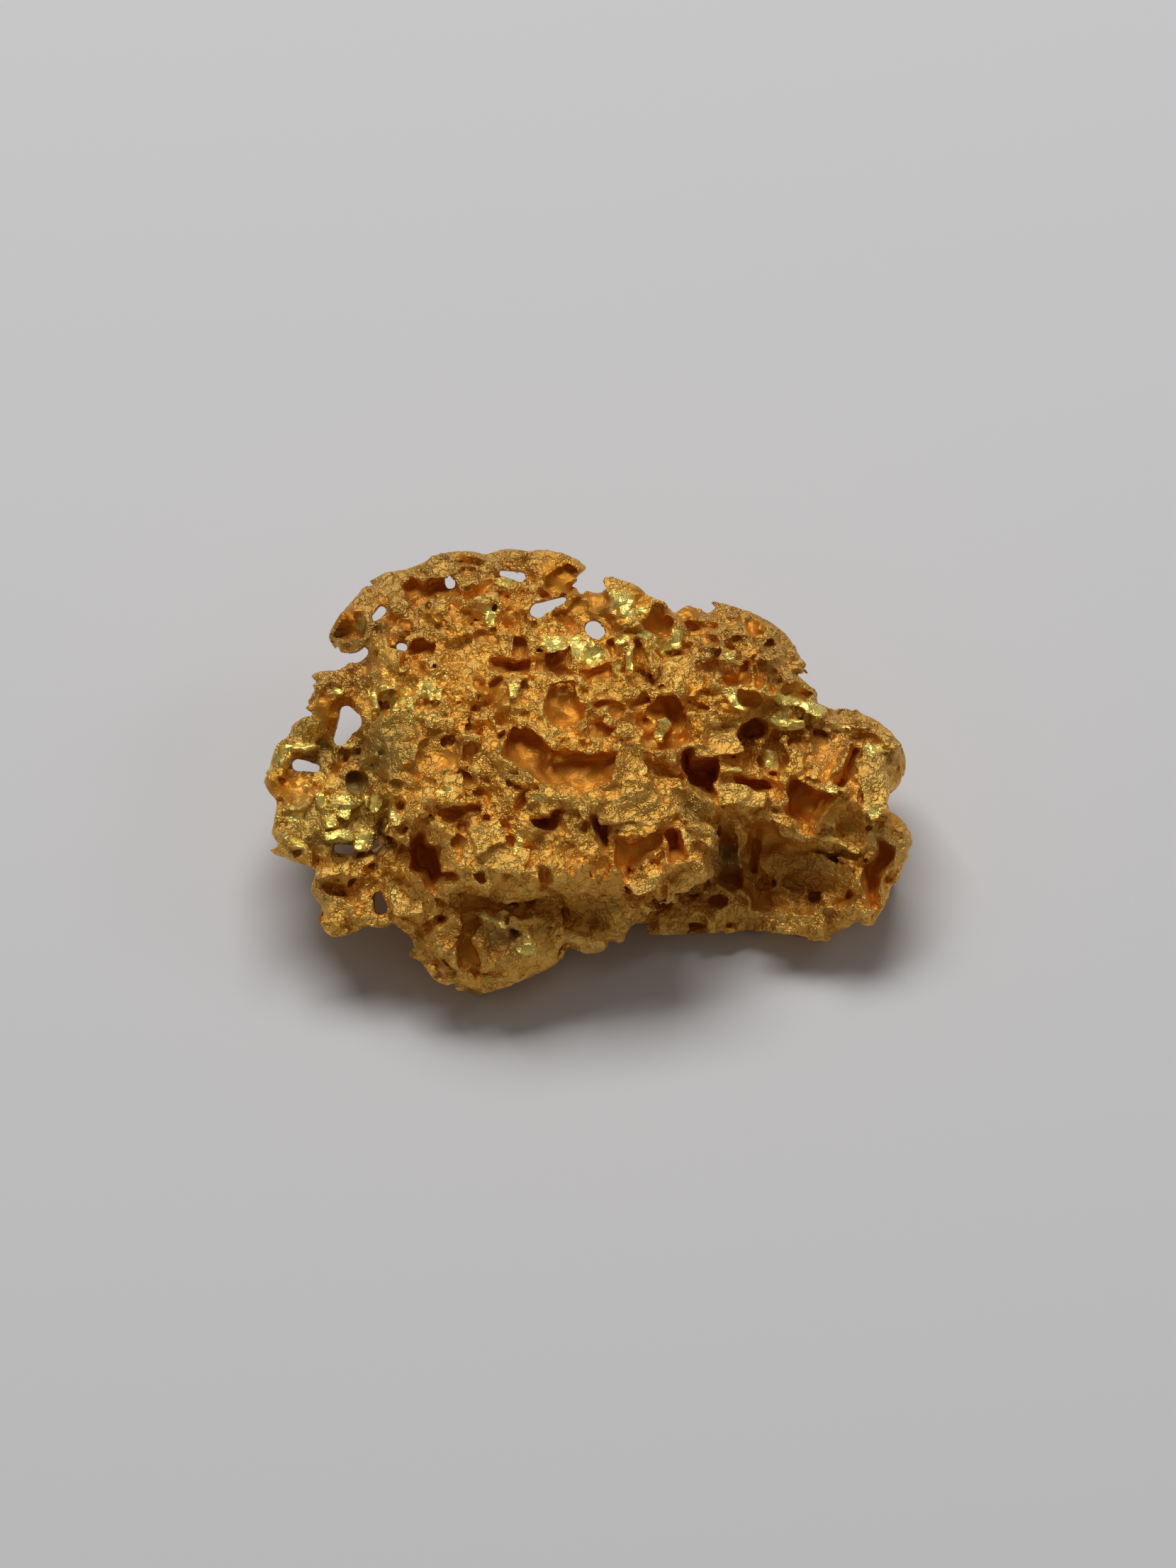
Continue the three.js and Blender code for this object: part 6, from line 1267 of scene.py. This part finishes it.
def gold_finish(material):
    """Native gold: pale satin crust, painted shade in hollows and creases, small faces with painted glints.
    """
    material.use_nodes = True
    nodes, link = material.node_tree.nodes, material.node_tree.links.new
    shader = nodes["Principled BSDF"]
    shader.inputs["Specular IOR Level"].default_value = 0.15
    place = nodes.new("ShaderNodeTexCoord").outputs["Object"]

    def attribute(name):
        made = nodes.new("ShaderNodeAttribute")
        made.attribute_name = name
        return made.outputs["Fac"]

    def noise(size, detail, roughness=0.55):
        made = nodes.new("ShaderNodeTexNoise")
        made.inputs["Scale"].default_value = 1 / (size * MM)
        made.inputs["Detail"].default_value = detail
        made.inputs["Roughness"].default_value = roughness
        link(place, made.inputs["Vector"])
        return made.outputs["Fac"]

    def ramp(value, low, high, to_low=0.0, to_high=1.0):
        made = nodes.new("ShaderNodeMapRange")
        ends = {"From Min": low, "From Max": high, "To Min": to_low, "To Max": to_high}
        for socket, end in ends.items():
            made.inputs[socket].default_value = end
        link(value, made.inputs["Value"])
        return made.outputs["Result"]

    combine = node_maker(material.node_tree, "ShaderNodeMath")

    def blend(share, a, b):
        made = nodes.new("ShaderNodeMix")
        made.data_type = "RGBA"
        link(share, made.inputs[0])
        for socket, value in zip((made.inputs[6], made.inputs[7]), (a, b)):
            if isinstance(value, tuple):
                socket.default_value = (*value, 1)
            else:
                link(value, socket)
        return made.outputs[2]

    # Where the hollows, the raised crust and the faces with painted glints are
    deep = combine("MULTIPLY", ramp(attribute("hollow"), 0.08, 0.6), 0.8)
    # Painted shade: narrow and wide hollows, found by blurring the solid, are painted darker
    painted_narrow_shade = combine("MULTIPLY", ramp(attribute("narrow"), 0.48, 0.75), 0.4)
    painted_wide_shade = ramp(attribute("wide"), 0.45, 0.75)
    inner = combine("MINIMUM", combine("ADD", deep, painted_narrow_shade), 1.0)
    raised = combine("MULTIPLY", ramp(attribute("proud"), 0.03, 0.15), 0.9)
    bare = ramp(attribute("smooth_and_painted_olive"), 0.1, 0.5, 1.0, 0.15)
    patches = combine("MAXIMUM", combine("MULTIPLY", ramp(noise(0.22, 2), 0.54, 0.6), bare), raised)
    # Painted glints: the crystal faces, the shiny stretches and raised crust in them get a paler yellow
    bright = combine("MULTIPLY", ramp(attribute("shine_and_painted_glint"), 0.1, 0.6), patches)
    bright = combine("MAXIMUM", bright, ramp(attribute("clean_face"), 0.2, 0.8))
    smooth = combine("MAXIMUM", combine("MAXIMUM", inner, attribute("amber")), attribute("clean_face"))

    # The crust, from pale to orange, with thin lines of painted shade along its creases
    crease = combine("ABSOLUTE", combine("SUBTRACT", noise(0.5, 3), 0.5))
    painted_crease_shade = combine("MULTIPLY", ramp(crease, 0.0, 0.02, 0.6, 0.0), ramp(smooth, 0, 0.6, 1.0, 0.0))
    colour = blend(noise(1.6, 3), (0.90, 0.49, 0.09), (0.96, 0.60, 0.145))
    colour = blend(ramp(noise(0.35, 4), 0.45, 0.7), colour, (0.88, 0.44, 0.055))
    colour = blend(painted_crease_shade, colour, (0.42, 0.17, 0.03))
    # Raised crust is painted paler: partly burnished wear, partly painted highlight on tops that face the
    # lamp
    colour = blend(ramp(attribute("proud"), 0.0, 0.1, 0.0, 0.6), colour, (0.98, 0.63, 0.16))
    # Painted shade: the rim stretches are painted a duller, darker tan
    colour = blend(ramp(attribute("tan"), 0, 1, 0, 0.7), colour, (0.62, 0.36, 0.10))
    colour = blend(attribute("amber"), colour, (0.62, 0.25, 0.02))
    # Painted shade and painted reflection: the smooth olive stretches, and the hollows in them, are painted
    # greenish
    colour = blend(ramp(attribute("smooth_and_painted_olive"), 0, 1, 0, 0.8), colour, (0.52, 0.34, 0.09))

    # The hollows with their painted bounce light and shade, the patches of painted shade, and the faces
    # with painted glints and the cracks across them
    hollow_colour = blend(attribute("smooth_and_painted_olive"), (0.74, 0.29, 0.028), (0.36, 0.26, 0.08))
    # Painted bounce light and shade: hollows and narrow creases are painted red brown, wide hollows a
    # darker orange
    colour = blend(inner, colour, hollow_colour)
    colour = blend(combine("MULTIPLY", painted_wide_shade, 0.3), colour, (0.62, 0.25, 0.025))
    # Painted shade: the crust that faces down and forward is painted a darker brown
    colour = blend(ramp(attribute("painted_shade_patch"), 0, 1, 0, 0.28), colour, (0.42, 0.20, 0.045))
    # Painted highlight: the glints are painted a pale lemon yellow
    colour = blend(bright, colour, (1.0, 0.77, 0.19))
    crack = combine("MULTIPLY", ramp(crease, 0.0, 0.012, 0.85, 0.0), attribute("clean_face"))
    colour = blend(crack, colour, (0.10, 0.07, 0.015))
    link(colour, shader.inputs["Base Color"])
    link(ramp(smooth, 0, 1, 1.0, 0.45), shader.inputs["Metallic"])

    satin = combine("ADD", ramp(noise(0.5, 4), 0.35, 0.7, 0.38, 0.54), ramp(inner, 0, 1, 0.0, 0.03))
    satin = combine("SUBTRACT", satin, combine("MULTIPLY", bright, 0.22))
    link(satin, shader.inputs["Roughness"])
    grain = nodes.new("ShaderNodeBump")
    grain.inputs["Distance"].default_value = 0.08 * MM
    link(ramp(smooth, 0, 1, 1.0, 0.15), grain.inputs["Strength"])
    wrinkled = combine("ADD", noise(0.12, 4, 0.6), ramp(crease, 0.0, 0.04, 0.0, 0.5))
    link(wrinkled, grain.inputs["Height"])
    link(grain.outputs["Normal"], shader.inputs["Normal"])


gold_finish(gold_material)
finished_mesh.materials.clear()
finished_mesh.materials.append(gold_material)
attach(nugget, "root")
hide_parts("nugget")


# The floor is a sheet of pale, matt paper that the nugget lies on. It reaches far enough for no edge
# of it to show.

FLOOR_HALF = 0.35  # half a side, in metres
paper_mesh = bpy.data.meshes.new("paper")
corners = [(-1, -1), (1, -1), (1, 1), (-1, 1)]
paper_mesh.from_pydata([(x * FLOOR_HALF, y * FLOOR_HALF, 0) for x, y in corners], [], [(0, 1, 2, 3)])
paper = bpy.data.objects.new("paper", paper_mesh)
bpy.context.collection.objects.link(paper)
paper_material = bpy.data.materials.new("pale_paper")
paper_material.use_nodes = True
paper_shader = paper_material.node_tree.nodes["Principled BSDF"]
paper_shader.inputs["Base Color"].default_value = (0.8, 0.795, 0.8, 1)
paper_shader.inputs["Roughness"].default_value = 0.9
paper_shader.inputs["Specular IOR Level"].default_value = 0.1
paper_mesh.materials.append(paper_material)


# The light is a pale room with one wide soft lamp above and behind the nugget, and a faint one at
# its right.

world = bpy.data.worlds.new("room")
world.use_nodes = True
room = world.node_tree.nodes["Background"]
room.inputs["Color"].default_value = (1.0, 0.97, 0.95, 1)
room.inputs["Strength"].default_value = 0.115
bpy.context.scene.world = world


def lamp(name, place, size, power):
    """A soft rectangular lamp that points at the nugget."""
    data = bpy.data.lights.new(name, "AREA")
    data.shape = "RECTANGLE"
    data.size, data.size_y = size
    data.energy = power
    made = bpy.data.objects.new(name, data)
    made.location = place
    made.rotation_euler = (-made.location).to_track_quat("-Z", "Y").to_euler()
    bpy.context.collection.objects.link(made)


lamp("ceiling_lamp", (-0.04, 0.2, 0.36), (0.32, 0.18), 1.13)
lamp("side_lamp", (0.28, 0.05, 0.22), (0.08, 0.08), 0.05)

# The camera looks down from the front, far off through a long lens.

SENSOR_WIDTH = 36  # in millimetres
PICTURE_WIDTH = 43.2 * SCALE * MM  # the frame's width at the nugget
PICTURE_MIDDLE = (0.195, -0.495, 4.5)  # the frame's middle, [u, v, w] in millimetres
DISTANCE = 0.35  # from the eye to the nugget, in metres
camera_data = bpy.data.cameras.new("camera")
camera_data.sensor_fit = "HORIZONTAL"
camera_data.sensor_width = SENSOR_WIDTH
camera_data.lens = SENSOR_WIDTH * DISTANCE / PICTURE_WIDTH
camera_data.clip_start = 0.01
camera_data.clip_end = 5
camera = bpy.data.objects.new("camera", camera_data)
mu, mv, mw = PICTURE_MIDDLE
target = (np.array([mu, mv * SIN - mw * COS, mv * COS + mw * SIN]) * SCALE - shift) * MM
camera.location = target + DISTANCE * np.array([0, -COS, SIN])
camera.rotation_euler = (math.pi / 2 - LOOK_DOWN, 0, 0)
bpy.context.collection.objects.link(camera)
bpy.context.scene.camera = camera
bpy.context.scene.view_settings.view_transform = "Standard"
